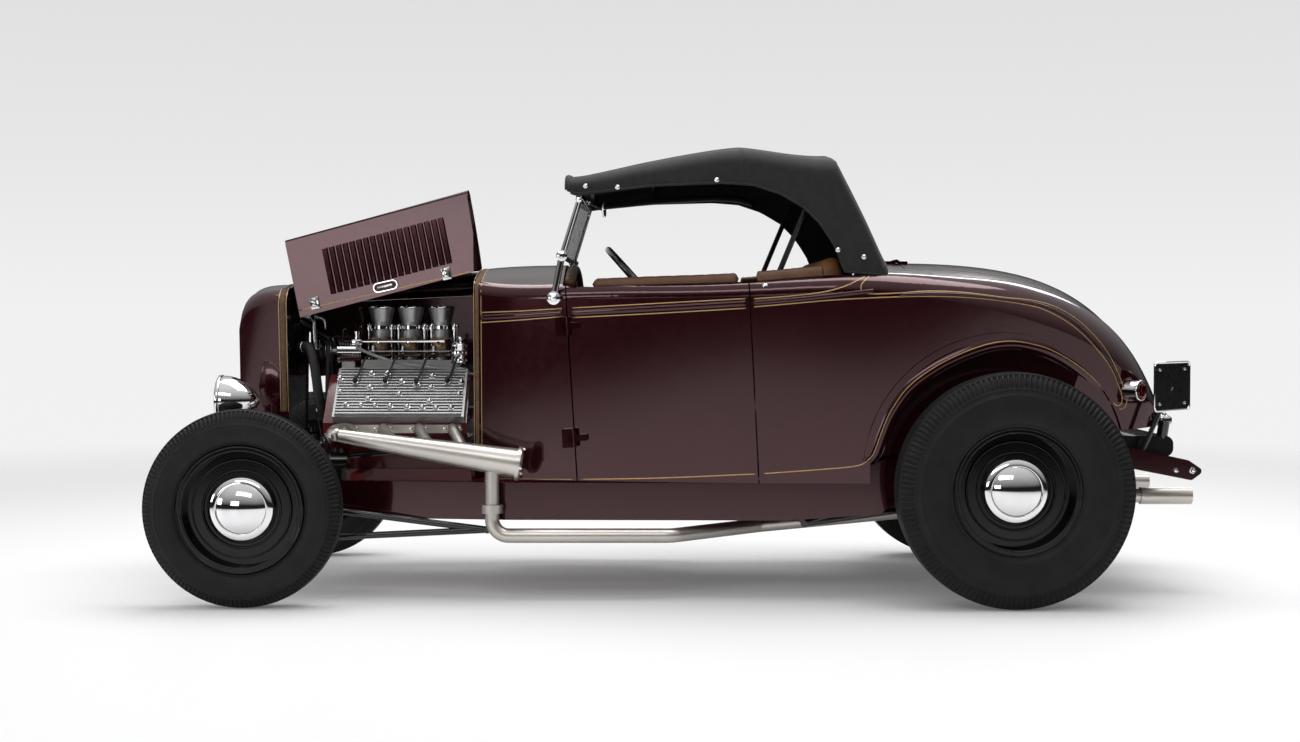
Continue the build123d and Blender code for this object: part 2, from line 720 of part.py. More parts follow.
def cockpit_cut():
    high = CROWN + 200
    stations = [DASH, BODY[2][0], BODY[3][0], BODY[4][0], COCKPIT_REAR]
    edge = [(s, body_half(s) - WALL) for s in stations]
    well = plan_prism(edge + [(s, -y) for s, y in reversed(edge)], DASH_BOTTOM, high)
    return well + side_prism([
        (DASH, high), (DASH, DOOR_TOP_FRONT + 4), (DASH + 110, DOOR_TOP_FRONT), (DOOR_REAR - 37, DOOR_TOP_REAR),
        (QUARTER_TOP_STATION, QUARTER_TOP), (COCKPIT_REAR, QUARTER_TOP + 18), (COCKPIT_REAR, high),
    ], -800, 800)


def arch(radius, y0, y1):
    return rod(point(ARCH_STATION, y0, ARCH_HEIGHT), point(ARCH_STATION, y1, ARCH_HEIGHT), radius)


def lid_cut(gap):
    """The deck lid's block: tapered in plan, its lower edge square to the falling deck."""
    front = LID_FRONT + gap
    narrow = LID_REAR_HALF - gap
    wide = LID_FRONT_HALF - gap
    plan = plan_prism([(front, -wide), (LID_REAR + 120, -narrow), (LID_REAR + 120, narrow), (front, wide)], 600, 1500)
    side = side_prism([
        (front, LID_REAR_HEIGHT - 80), (LID_REAR - 82 - gap, LID_REAR_HEIGHT - 57 + gap),
        (LID_REAR + 82 - gap, LID_REAR_HEIGHT + 57 + gap), (LID_REAR + 82, 1500), (front, 1500),
    ], -700, 700)
    return plan & side


def shell():
    """The body's skin, cut level at the sill."""
    below = slab(0, TAIL, -900, 900, 0, RAIL_TOP + SILL_GAP)
    return body_loft(0) - body_loft(WALL) - cockpit_cut() - below


def butt_hinge(place, depth):
    """A hinge about the plane's z: the fixed leaf lies towards -x, the moving leaf towards +x."""
    third = HINGE_LENGTH / 3
    fixed = Pos(-(HINGE_LEAF + HINGE_BARREL) / 2, -depth / 2, 0) * Box(HINGE_LEAF - HINGE_BARREL, depth, HINGE_LENGTH)
    fixed -= Pos(-HINGE_BARREL, 0, 0) * Box(4 * HINGE_BARREL, 4 * HINGE_BARREL, third + 4 * RUNNING_FIT)
    moving = Pos((HINGE_LEAF + HINGE_BARREL) / 2, -depth / 2, 0) * Box(HINGE_LEAF - HINGE_BARREL, depth, third)
    moving += Pos(HINGE_BARREL, 0, 0) * Box(2 * HINGE_BARREL, HINGE_BARREL, third)
    moving += Cylinder(HINGE_BARREL, third)
    for end in (-third, third):
        fixed += Pos(-HINGE_BARREL, 0, end) * Box(2 * HINGE_BARREL, HINGE_BARREL, third - 2 * RUNNING_FIT)
        fixed += Pos(0, 0, end) * Cylinder(HINGE_BARREL, third - 2 * RUNNING_FIT)
    return place.location * fixed, place.location * moving


def door_hinges():
    lean = Vector(-FRONT_SEAM_LEAN, 0, 1)
    pairs = []
    for height in DOOR_HINGE_HEIGHTS:
        origin = point(front_seam(height) + DOOR_GAP / 2, DOOR_AXIS_OFFSET, height)
        pairs.append(butt_hinge(Plane(origin=origin, x_dir=(1, 0, FRONT_SEAM_LEAN), z_dir=lean), HINGE_DEPTH))
    return pairs


def lid_hinges():
    pairs = []
    for offset in (-LID_HINGE_OFFSET, LID_HINGE_OFFSET):
        origin = point(LID_FRONT + LID_GAP / 2, offset, LID_AXIS_HEIGHT)
        pairs.append(butt_hinge(Plane(origin=origin, x_dir=(1, 0, 0), z_dir=(0, -1, 0)), HINGE_DEPTH))
    return pairs


def cowl(skin):
    low = BODY_BOTTOM - 100
    high = CROWN + 100
    front = BODY[0][0] - 50
    region = side_prism([(front, low), (front_seam(low), low), (front_seam(high), high), (front, high)], -800, 800)
    dash = body_loft(WALL - 2) & slab(DASH - 14, DASH, -600, 600, DASH_BOTTOM, CROWN + 100)
    joint, head = point(*COLUMN_JOINT), point(*WHEEL_CENTRE)
    shape = (skin & region) + dash - rod(joint, head, COLUMN_RADIUS + COLUMN_CLEAR)
    for fixed, moving in door_hinges():
        shape += both_sides(fixed)
    return shape


def door(skin):
    shape = skin & side_prism(door_outline(DOOR_GAP), 100, 900)
    for fixed, moving in door_hinges():
        shape += moving
    return shape


def rear_body(skin):
    low = BODY_BOTTOM - 100
    high = CROWN + 100
    region = side_prism([(rear_seam(low), low), (TAIL, low), (TAIL, high), (rear_seam(high), high)], -800, 800)
    shape = (skin & region) - lid_cut(0)
    shape -= both_sides(arch(ARCH_RADIUS, TUB_OFFSET, 900))
    tub = arch(ARCH_RADIUS + TUB_WALL, TUB_OFFSET - TUB_WALL, 900) - arch(ARCH_RADIUS, TUB_OFFSET, 900)
    over = slab(ARCH_STATION - 600, ARCH_STATION + 600, 400, 900, ARCH_HEIGHT + 60, 1200)
    shape += both_sides((tub & over) & body_loft(WALL / 2))
    lip = (arch(ARCH_RADIUS + LIP_WIDTH, 400, 900) - arch(ARCH_RADIUS, 400, 900)) & over
    shape += both_sides((lip & body_loft(-LIP_RISE)) - body_loft(WALL / 2))
    for fixed, moving in lid_hinges():
        shape += fixed
    return shape


def deck_lid(skin, body):
    """An outer skin over an inner frame, whose smaller outline clears the body as the lid swings."""
    outer = (body - body_loft(LID_SKIN)) & lid_cut(LID_GAP)
    shape = outer + (skin & lid_cut(LID_GAP + LID_STEP))
    for fixed, moving in lid_hinges():
        shape += moving
    return shape


def floor():
    thick = 12
    line = [(BODY[0][0] + WALL + 1, FLOOR_TOP), (2060, FLOOR_TOP), (2300, TRUNK_FLOOR), (TAIL - 150, TRUNK_FLOOR)]
    strip = side_prism(line + [(s, z - thick) for s, z in reversed(line)], -800, 800)
    shape = strip & body_loft(WALL + FLOOR_CLEAR)
    return shape - both_sides(arch(ARCH_RADIUS + TUB_WALL + 1, TUB_OFFSET - TUB_WALL - 1, 900))


def seat():
    back = SEAT_BACK
    return side_prism([
        (back - 400, FLOOR_TOP + RUNNING_FIT), (back - 400, 690), (back - 370, 712), (back - 60, 668),
        (back + 80, SEAT_TOP - 25), (back + 120, SEAT_TOP), (back + 180, SEAT_TOP - 10), (back + 230, 640),
        (back + 100, FLOOR_TOP + RUNNING_FIT),
    ], -SEAT_HALF, SEAT_HALF, bend=10)


# Nose: radiator shell, grille bars, core and lamps


def nose_loft(inset):
    """The radiator shell's outside, or the opening that runs right through it."""
    rows = NOSE
    if inset > 0:
        first, last = NOSE[0], NOSE[-1]
        rows = [(first[0] - 30, *first[1:])] + NOSE[1:-1] + [(last[0] + 30, *last[1:])]
        rows = [(row[0], row[1] - OPEN_BELOW, *row[2:]) for row in rows]
    return loft([body_section(row, inset, inset) for row in rows])


def radiator_shell():
    return nose_loft(0) - nose_loft(SHELL_WALL)


def grille():
    reach = nose_loft(SHELL_WALL + RUNNING_FIT)
    front = NOSE[0][0] + 8
    bars = slab(front + 4, front + 16, -300, 300, 560, 572) + slab(front + 4, front + 16, -300, 300, 900, 912)
    count = int(NOSE[1][3] / GRILLE_PITCH)
    for index in range(-count, count + 1):
        y = index * GRILLE_PITCH
        bars += slab(front, front + 14, y - 2, y + 2, NOSE[0][1], 1200)
    return bars & reach


def radiator():
    back = NOSE[-1][0]
    core = slab(back - 62, back - 6, -230, 230, CROSSMEMBER_TOP + RUNNING_FIT, 1080) & nose_loft(SHELL_WALL + RUNNING_FIT)
    hose = rod(point(back - 10, 90, 1000), point(ENGINE_FRONT - 40, 90, 930), 20)
    return core + hose


def headlamp(rails):
    """A teardrop bowl about X, its stand and the foot on the rail."""
    s, y, z = LAMP_CENTRE
    half = LAMP_RADIUS
    length = 138
    section = [
        Line((0, 0), (half, 0)),
        Line((half, 0), (half, 14)),
        ThreePointArc((half, 14), (half * 0.80, length * 0.55), (0, length)),
        Line((0, length), (0, 0)),
    ]
    bowl = revolve(make_face(section), axis=Axis.Y)
    place = Plane(origin=point(s, y, z), x_dir=(0, 1, 0), z_dir=(0, 0, 1)).location
    bowl = place * Rot(0, 0, 180) * bowl
    foot_y = rail_plan(s + 60) - RAIL_WIDTH / 2
    stand = rod(point(s + 60, y, z), point(s + 60, foot_y, RAIL_TOP - 40), 14) - rails
    return bowl, stand


# Hood: each half is a crowned top on the centre hinge and a louvred side on the top's edge


def hood_section(row):
    """One half of the hood's top across the car: crown, shoulder and the panel's thickness."""
    station, half, shoulder, run, rise, crown = row
    edge = half - run
    ridge = shoulder + rise
    mid_y = edge * 0.55
    mid_z = ridge + (crown - ridge) * (1 - 0.55 ** 2)
    t = HOOD_THICK
    soft = (half - 0.293 * run, shoulder + 0.707 * rise)
    flat = make_face([
        ThreePointArc((HOOD_GAP, crown), (mid_y, mid_z), (edge, ridge)),
        ThreePointArc((edge, ridge), soft, (half, shoulder)),
        Line((half, shoulder), (half - t, shoulder)),
        ThreePointArc((half - t, shoulder), (soft[0] - t * 0.7, soft[1] - t * 0.7), (edge - t * 0.2, ridge - t)),
        ThreePointArc((edge - t * 0.2, ridge - t), (mid_y, mid_z - t), (HOOD_GAP, crown - t)),
        Line((HOOD_GAP, crown - t), (HOOD_GAP, crown)),
    ])
    return Plane.YZ.offset(at(station)) * flat


def hood_top():
    return loft([hood_section(row) for row in HOOD])


def hood_axis(row):
    return point(row[0], 0, row[5] - HOOD_THICK / 2)


def edge_axis(row):
    return point(row[0], row[1] - HOOD_THICK / 2, row[2] - EDGE_DROP)


def hood_side():
    """A flat panel below the top's edge, with a hinge bead and a row of louvres."""
    start, end = edge_axis(HOOD[0]), edge_axis(HOOD[-1])
    along = (end - start).normalized()
    length = (end - start).length
    run = math.hypot(along.X, along.Y) * length
    climb = end.Z - start.Z
    place = Plane(origin=start, x_dir=(along.X, along.Y, 0), z_dir=(0, 0, 1))
    upright = Plane(origin=start, x_dir=(along.X, along.Y, 0), z_dir=(along.Y, -along.X, 0))
    t = HOOD_THICK
    low = SIDE_TOP + SIDE_HEIGHT
    rear = [(run - step, climb - drop) for drop, step in SIDE_REAR]
    plate = make_face(Polyline((0, -SIDE_TOP), *rear, (0, -low), close=True))
    web = make_face(Polyline((0, 0), (run, climb), (run, climb - SIDE_TOP - 1), (0, -SIDE_TOP - 1), close=True))
    panel = extrude(upright * plate, amount=t / 2, both=True) + extrude(upright * web, amount=1.2, both=True)
    panel += rod(start, end, EDGE_DROP - RUNNING_FIT)
    wedge = make_face(Polyline((0, 0), (LOUVRE_PITCH * 0.8, 0), (LOUVRE_PITCH * 0.8, LOUVRE_RISE), close=True))
    louvre = extrude(wedge, amount=LOUVRE_HEIGHT)
    for index in range(LOUVRE_COUNT):
        u = LOUVRE_START + index * LOUVRE_PITCH
        foot = climb * u / run - SIDE_TOP - (SIDE_HEIGHT + LOUVRE_HEIGHT) / 2
        panel += place.location * Pos(u, t / 2 - 0.5, foot) * louvre
    return panel


def raised(shape, is_side):
    """The left half's piece, closed, turned into the open pose."""
    if is_side:
        shape = shape.rotate(left_axis(edge_axis), HOOD_RAISE)
    return shape.rotate(left_axis(hood_axis), -HOOD_RAISE)


def left_axis(where):
    start, end = (Vector(p.X, -p.Y, p.Z) for p in (where(HOOD[0]), where(HOOD[-1])))
    return Axis(origin=start, direction=end - start)


def hood_hinge():
    start, end = hood_axis(HOOD[0]), hood_axis(HOOD[-1])
    reach = (end - start).normalized() * (HOOD_SEAM - 1)
    return rod(start - reach, end + reach, HINGE_RADIUS)


# Engine: a side-valve vee with finned heads, three carburettors and open stacks


def engine_block():
    """Vee block with its sump, bell housing, gearbox, crank pulley and mounting arms."""
    half = [
        (0, VALLEY), (DECK_INNER[0] - 45, VALLEY), DECK_INNER, DECK_OUTER, (DECK_OUTER[0], PORT_LOW),
        (165, 530), (165, 440), (115, SUMP_BOTTOM), (0, SUMP_BOTTOM),
    ]
    section = make_face(Polyline(*half, close=True))
    right = extrude(Plane.YZ.offset(at(ENGINE_FRONT)) * section, amount=ENGINE_REAR - ENGINE_FRONT)
    shape = both_sides(right)
    shape += rod(point(ENGINE_REAR - 4, 0, CRANK_HEIGHT), point(ENGINE_REAR + 24, 0, CRANK_HEIGHT), 150)
    shape += slab(ENGINE_REAR, GEARBOX_END, -92, 92, GEARBOX_BOTTOM, GEARBOX_TOP)
    shape += rod(point(ENGINE_FRONT - 45, 0, CRANK_HEIGHT), point(ENGINE_FRONT + 1, 0, CRANK_HEIGHT), 72)
    arm = slab(MOUNT_STATION - 22, MOUNT_STATION + 22, 100, rail_plan(MOUNT_STATION), RAIL_TOP + RUNNING_FIT, RAIL_TOP + 26)
    return shape + both_sides(arm)


def cylinder_head():
    """A slab on the sloping deck with fins along it and a rounded rim."""
    y0, z0 = DECK_INNER
    y1, z1 = DECK_OUTER
    across = Vector(0, y1 - y0, z1 - z0)
    width = across.length
    length = HEAD_REAR - HEAD_FRONT
    middle = point((HEAD_FRONT + HEAD_REAR) / 2, (y0 + y1) / 2, (z0 + z1) / 2)
    place = Plane(origin=middle, x_dir=(1, 0, 0), z_dir=Vector(0, z0 - z1, y1 - y0)).location
    head = Pos(0, 0, RUNNING_FIT + HEAD_THICK / 2) * Box(length, width, HEAD_THICK)
    pitch = (width - 2 * FIN_MARGIN) / (FIN_COUNT - 1)
    for index in range(FIN_COUNT):
        v = FIN_MARGIN - width / 2 + index * pitch
        head += Pos(0, v, HEAD_THICK + FIN_HEIGHT / 2) * Box(length - 2 * FIN_MARGIN, FIN_THICK, FIN_HEIGHT + 1)
    return place * head


def intake():
    """The manifold in the vee with three carburettors and flared stacks."""
    base = VALLEY + RUNNING_FIT
    shape = slab(CARB_STATIONS[0] - 70, CARB_STATIONS[-1] + 70, -62, 62, base, MANIFOLD_TOP)
    for station in CARB_STATIONS:
        lift = Pos(at(station), 0, 0)
        body = turned([(0, MANIFOLD_TOP - 2), (34, MANIFOLD_TOP - 2), (34, MANIFOLD_TOP + 16), (26, MANIFOLD_TOP + 22),
                       (26, STACK_FOOT - 34), (44, STACK_FOOT - 28), (44, STACK_FOOT), (0, STACK_FOOT)])
        stack = turned([(34, STACK_FOOT - 1), (38, STACK_FOOT - 1), (38, STACK_FOOT + 34), (STACK_RADIUS, STACK_TOP - 8),
                        (STACK_RADIUS, STACK_TOP), (STACK_RADIUS - 5, STACK_TOP), (34, STACK_FOOT + 34)])
        shape += lift * Rot(90, 0, 0) * (body + stack)
        shape += slab(station - 22, station + 22, -70, 70, STACK_FOOT - 84, STACK_FOOT - 42)
    return shape


def generator():
    """Generator on its stand, with pulley and the belt down to the crank."""
    z = GENERATOR_HEIGHT
    shape = rod(point(ENGINE_FRONT + 4, 0, z), point(CARB_STATIONS[0] - 76, 0, z), 46)
    shape += rod(point(ENGINE_FRONT - 42, 0, z), point(ENGINE_FRONT + 6, 0, z), 14)
    shape += rod(point(ENGINE_FRONT - 42, 0, z), point(ENGINE_FRONT - 20, 0, z), 40)
    shape += slab(ENGINE_FRONT + 20, ENGINE_FRONT + 70, -26, 26, VALLEY + RUNNING_FIT, z)
    return shape


def fan():
    """Four blades on the crank nose, just behind the radiator."""
    front = ENGINE_FRONT - 45 - 22
    shape = rod(point(front, 0, CRANK_HEIGHT), point(ENGINE_FRONT - 45 - RUNNING_FIT, 0, CRANK_HEIGHT), 30)
    for turn in range(4):
        blade = Rot(0, 0, 14) * Box(4, 52, 165)
        blade = Rot(45 + 90 * turn, 0, 0) * Pos(0, 0, 100) * blade
        shape += Pos(at(front + 9), 0, CRANK_HEIGHT) * blade
    return shape


def header():
    """Flange, four ports swept back into one long cone, and the capped turn-down."""
    face = DECK_OUTER[0] + RUNNING_FIT
    shape = slab(PORTS[0] - 30, PORTS[-1] + 30, face, face + 11, PORT_LOW, PORT_LOW + 30)
    start, end = point(*CONE_START), point(*CONE_END)
    shape += rod(start, end, CONE_START_RADIUS, CONE_END_RADIUS)
    for port in PORTS:
        share = (port + PORT_SWEEP - CONE_START[0]) / (CONE_END[0] - CONE_START[0])
        share = max(share, 0.01)
        into = start + (end - start) * share
        shape += pipe([
            point(port, face + 4, PORT_LOW + 15), point(port + 8, face + 70, PORT_LOW + 15), into,
        ], PORT_RADIUS, 45)
    shape += rod(end, end + (end - start).normalized() * 10, CONE_END_RADIUS + 8)
    drop = start + (end - start) * DOWN_SHARE
    shape += rod(drop, Vector(drop.X, drop.Y, RUN_HEIGHT + 96), RUN_RADIUS)
    shape += rod(Vector(drop.X, drop.Y, RUN_HEIGHT + 96), Vector(drop.X, drop.Y, RUN_HEIGHT + 112), RUN_RADIUS + 14)
    return shape


def exhaust_pipe():
    """From the turn-down's flange along the rail, inboard under the axle and out at the tail."""
    start, end = point(*CONE_START), point(*CONE_END)
    drop = start + (end - start) * DOWN_SHARE
    top = RUN_HEIGHT + 96 - RUNNING_FIT
    shape = pipe([
        Vector(drop.X, drop.Y, top), Vector(drop.X, drop.Y, RUN_HEIGHT), point(RUN_END, drop.Y, RUN_HEIGHT),
        point(RUN_END + 330, TIP_OFFSET, RUN_HEIGHT + 10), point(REAR_AXLE - 130, TIP_OFFSET, UNDER_AXLE),
        point(REAR_AXLE + 130, TIP_OFFSET, UNDER_AXLE), point(TAIL - 230, TIP_OFFSET, TIP_HEIGHT), point(TAIL - 60, TIP_OFFSET, TIP_HEIGHT),
    ], RUN_RADIUS, 60)
    shape += rod(Vector(drop.X, drop.Y, top - 14), Vector(drop.X, drop.Y, top), RUN_RADIUS + 14)
    tip = rod(point(TAIL - 190, TIP_OFFSET, TIP_HEIGHT), point(TAIL, TIP_OFFSET, TIP_HEIGHT), TIP_RADIUS)
    return shape + tip - rod(point(TAIL - 50, TIP_OFFSET, TIP_HEIGHT), point(TAIL + 5, TIP_OFFSET, TIP_HEIGHT), TIP_RADIUS - 3)


# Weather gear: windshield, soft top and its irons


def windshield_plane():
    lean = math.radians(WINDSHIELD_RAKE)
    return Plane(origin=point(*WINDSHIELD_FOOT), x_dir=(0, 1, 0), z_dir=(math.cos(lean), 0, -math.sin(lean)))


def windshield_frame(body):
    place = windshield_plane().location
    half, high, bar = WINDSHIELD_HALF, WINDSHIELD_HEIGHT, WINDSHIELD_BAR
    outer = extrude(Pos(0, high / 2) * RectangleRounded(2 * half, high, 24), amount=bar / 2, both=True)
    inner = extrude(Pos(0, high / 2) * RectangleRounded(2 * (half - bar), high - 2 * bar, 14), amount=bar, both=True)
    shape = place * (outer - inner)
    foot = point(STANCHION_FOOT[0], STANCHION_FOOT[1], STANCHION_FOOT[2])
    pivot = point(WINDSHIELD_FOOT[0], half + 4, WINDSHIELD_FOOT[2] + 10)
    knob = rod(point(WINDSHIELD_FOOT[0], half - 8, pivot.Z), point(WINDSHIELD_FOOT[0], half + 18, pivot.Z), 17)
    base = point(STANCHION_FOOT[0], body_half(STANCHION_FOOT[0]) + 1, STANCHION_FOOT[2])
    pad = rod(base - Vector(0, 20, 0), foot + Vector(0, 10, 0), 22) - body
    return shape + both_sides(rod(foot, pivot, 12) + knob + pad)


def windshield_glass():
    bar = WINDSHIELD_BAR + RUNNING_FIT
    flat = Pos(0, WINDSHIELD_HEIGHT / 2) * RectangleRounded(2 * (WINDSHIELD_HALF - bar), WINDSHIELD_HEIGHT - 2 * bar, 14)
    return windshield_plane().location * extrude(flat, amount=3, both=True)


def top_loft(inset):
    rows = TOP
    if inset > 0:
        rows = [(TOP[0][0] + inset, *TOP[0][1:])] + TOP[1:-1] + [(TOP[-1][0] - inset, *TOP[-1][1:])]
        rows = [(row[0], row[1] - 60, *row[2:]) for row in rows]
    drops = [inset * share for share in TOP_DROP] if inset > 0 else [0] * len(rows)
    sections = [body_section(row, inset, drop) for row, drop in zip(rows, drops)]
    return loft(sections[:TOP_CORNER + 1]) + loft(sections[TOP_CORNER:], ruled=True)


def soft_top(body):
    """The canopy with its side windows cut, resting on the body's rim and the windshield."""
    skin = top_loft(0) - top_loft(TOP_WALL)
    low = TOP[1][1] - 100
    window = side_prism([
        (TOP[0][0] - 60, low), (TOP[0][0] - 60, TOP_LIP), (TOP[0][0] + 20, TOP_LIP - 14), (1602, 1483), (1746, 1472),
        (1854, 1418), (1961, 1310), (2051, 1228), (2095, 1150), (2095, low),
    ], -800, 800)
    return skin - window - Pos(0, 0, TOP_SEAT) * body


def top_irons(skin):
    """The bent bow on each side, from its pivot behind the door up into the canopy."""
    y = IRON_OFFSET
    s, z = IRON_FOOT
    bow = rod(point(s, y, z), point(IRON_HEAD[0], y, IRON_HEAD[1]), IRON_RADIUS)
    bow += rod(point(s, y - 14, z), point(s, body_half(s) - WALL / 2, z), 16) - skin
    return both_sides(bow)


def steering_wheel():
    head, joint = point(*WHEEL_CENTRE), point(*COLUMN_JOINT)
    along = (head - joint).normalized()
    place = Plane(origin=head, x_dir=(0, 1, 0), z_dir=along).location
    shape = Torus(STEERING_RADIUS, 12) + Pos(0, 0, 2) * Cylinder(30, 24)
    shape += Pos(0, 0, (RUNNING_FIT - COLUMN_GAP) / 2) * Cylinder(16, COLUMN_GAP - RUNNING_FIT)
    for turn in (90, 210, 330):
        shape += Rot(0, 0, turn) * Pos(STEERING_RADIUS / 2, 0, -6) * Box(STEERING_RADIUS, 24, 5)
    return place * shape


# Tail: tank, lamps and a blank plate


def fuel_tank():
    half = rail_plan(TANK_STATION) - RAIL_WIDTH - 30
    body = slab(TANK_STATION - 110, TANK_STATION + 110, -half, half, TANK_BOTTOM, TANK_TOP)
    body = fillet(body.edges().filter_by(Axis.Y), 30)
    rail_face = rail_plan(TANK_STATION + 20) - RAIL_WIDTH - RUNNING_FIT
    strap = slab(TANK_STATION - 20, TANK_STATION + 20, half - 1, rail_face, TANK_BOTTOM + 4, TANK_BOTTOM + 16)
    filler = rod(point(TANK_STATION + 72, 20 - half, TANK_TOP - 10), point(TANK_STATION + 80, 12 - half, TANK_TOP + 55), 20)
    return body + both_sides(strap) + filler


def tail_lamp(body):
    """A round lamp set square to the tail's corner."""
    face = point(*TAIL_LAMP)
    outward = Vector(1, 1, 0).normalized()
    return rod(face - outward * 40, face + outward * 30, 42, 34) - body


def number_plate(rails):
    s, y, z = PLATE
    plate = Pos(at(s), y, z) * Rot(0, 0, PLATE_TURN) * Box(*PLATE_SIZE)
    foot = point(*PLATE_FOOT, rail_top(PLATE_FOOT[0]))
    return plate + (rod(foot - Vector(0, 0, 20), Vector(at(s - 2), y, z), 9) - rails)


def build():
    write_wheels()
    skin = shell()
    body = body_loft(0)
    right_door = door(skin)
    right_knuckle = knuckle()
    rails = frame()
    bowl, stand = headlamp(rails)
    s, y, z = LAMP_CENTRE
    recess = rod(point(s - 1, y, z), point(s + LENS_DEPTH, y, z), LENS_RADIUS + RUNNING_FIT)
    lens = rod(point(s, y, z), point(s + LENS_DEPTH - RUNNING_FIT, y, z), LENS_RADIUS)
    top, side = hood_top(), hood_side()
    pieces = {
        "frame": rails,
        "front_axle": front_axle(),
        "front_spring": front_spring(),
        "front_radius_rods": front_radius_rods(),
        "rear_axle": rear_axle() + drive_shaft(),
        "rear_spring": rear_spring(),
        "rear_radius_rods": rear_radius_rods(),
        "knuckle_right": right_knuckle + steer_pin(DRAG_LINK_HEIGHT + EYE_HALF),
        "knuckle_left": other_side(right_knuckle + steer_pin(ARM_HIGH)),
        "tie_rod": tie_rod(),
        "drag_link": drag_link(),
        "pitman_arm": pitman_arm(),
        "steering_box": steering_box(),
        "steering_wheel": steering_wheel(),
        "cowl": cowl(skin),
        "floor": floor(),
        "rear_body": rear_body(skin),
        "door_right": right_door,
        "door_left": other_side(right_door),
        "deck_lid": deck_lid(skin, body),
        "seat": seat(),
        "radiator_shell": radiator_shell(),
        "grille": grille(),
        "radiator": radiator(),
        "headlamps": both_sides(bowl + stand - recess),
        "headlamp_lenses": both_sides(lens),
        "hood_hinge": hood_hinge(),
        "hood_right_top": top,
        "hood_right_side": side,
        "hood_left_top": raised(other_side(top), False),
        "hood_left_side": raised(other_side(side), True),
        "engine_block": engine_block(),
        "cylinder_heads": both_sides(cylinder_head()),
        "intake": intake(),
        "generator": generator(),
        "fan": fan(),
        "exhaust_headers": both_sides(header()),
        "exhaust_pipes": both_sides(exhaust_pipe()),
        "windshield_frame": windshield_frame(body),
        "windshield_glass": windshield_glass(),
        "soft_top": soft_top(body),
        "top_irons": top_irons(skin),
        "fuel_tank": fuel_tank(),
        "tail_lamps": both_sides(tail_lamp(body)),
        "number_plate": number_plate(rails),
    }
    for name, shape in pieces.items():
        write(name, shape)


build()
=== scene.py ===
import bpy
import bmesh
import json
import math
from mathutils import Matrix, Vector, noise as field
from mathutils.bvhtree import BVHTree


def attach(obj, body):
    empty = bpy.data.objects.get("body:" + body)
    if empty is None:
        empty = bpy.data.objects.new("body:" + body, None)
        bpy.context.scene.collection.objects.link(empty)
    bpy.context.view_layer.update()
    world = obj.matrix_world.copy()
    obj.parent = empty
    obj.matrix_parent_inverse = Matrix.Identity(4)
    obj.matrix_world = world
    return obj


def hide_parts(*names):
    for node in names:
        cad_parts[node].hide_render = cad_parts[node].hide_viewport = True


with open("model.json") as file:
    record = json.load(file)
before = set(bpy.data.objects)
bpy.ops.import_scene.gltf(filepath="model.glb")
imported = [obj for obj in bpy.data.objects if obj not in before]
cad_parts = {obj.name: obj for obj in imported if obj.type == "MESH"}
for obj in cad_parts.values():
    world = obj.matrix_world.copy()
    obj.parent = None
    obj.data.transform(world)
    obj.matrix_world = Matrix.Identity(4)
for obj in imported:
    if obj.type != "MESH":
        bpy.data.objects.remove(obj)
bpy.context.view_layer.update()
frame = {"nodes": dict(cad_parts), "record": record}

# The camera, in the photograph's 1300 x 742 frame
IMAGE_WIDTH = 1300
IMAGE_HEIGHT = 742
FOCAL_PIXELS = 1864
HORIZON_ROW = 312
EYE = Vector((-0.1195, -7.211, 1.034))
PITCH = math.atan((IMAGE_HEIGHT / 2 - HORIZON_ROW) / FOCAL_PIXELS)
SENSOR = 36

# Sizes shared with the solids, in metres
FRONT_AXLE = -1.5425
REAR_AXLE = FRONT_AXLE + 2.692
LEFT, RIGHT = -1, 1
SIDES = {"left": LEFT, "right": RIGHT}


def spot(s, y, z):
    """A point from a station in millimetres behind the front axle, an offset and a height."""
    return Vector((FRONT_AXLE + s / 1000, y / 1000, z / 1000))


# Materials


def fill_sockets(tree, node, sockets):
    """Sets a node's inputs to values, or links them to other nodes' outputs."""
    for key, value in sockets.items():
        if isinstance(value, bpy.types.NodeSocket):
            tree.links.new(value, node.inputs[key])
        else:
            node.inputs[key].default_value = value


def add(tree, kind, sockets, **settings):
    node = tree.nodes.new("ShaderNode" + kind)
    for key, value in settings.items():
        setattr(node, key, value)
    fill_sockets(tree, node, sockets)
    return node


def dress(made, sockets):
    fill_sockets(made.node_tree, made.node_tree.nodes["Principled BSDF"], sockets)
    return made


def new_material(name, colour, roughness, metallic=0.0):
    made = bpy.data.materials.new(name)
    made.use_nodes = True
    made.diffuse_color = (*colour, 1)
    return dress(made, {"Base Color": (*colour, 1), "Roughness": roughness, "Metallic": metallic})


def place(made):
    """The texture coordinate of a material, in metres on the object."""
    tree = made.node_tree
    found = tree.nodes.get("Texture Coordinate")
    return (found or tree.nodes.new("ShaderNodeTexCoord")).outputs["Object"]


def noise(made, scale, detail=3.0):
    sockets = {"Vector": place(made), "Scale": scale, "Detail": detail}
    return add(made.node_tree, "TexNoise", sockets).outputs["Fac"]


def cells(made, scale):
    return add(made.node_tree, "TexVoronoi", {"Vector": place(made), "Scale": scale}).outputs["Distance"]


def wave(made, scale, axis):
    sockets = {"Vector": place(made), "Scale": scale}
    return add(made.node_tree, "TexWave", sockets, bands_direction=axis).outputs["Fac"]


def ramp(tree, value, stops):
    """A colour ramp over a value: stops are (position, colour)."""
    node = add(tree, "ValToRGB", {"Fac": value})
    points = node.color_ramp.elements
    while len(points) < len(stops):
        points.new(0.5)
    for point, (position, colour) in zip(points, stops):
        point.position = position
        point.color = (*colour, 1)
    return node.outputs["Color"]


def both(made, first, second):
    return add(made.node_tree, "Math", {0: first, 1: second}).outputs["Value"]


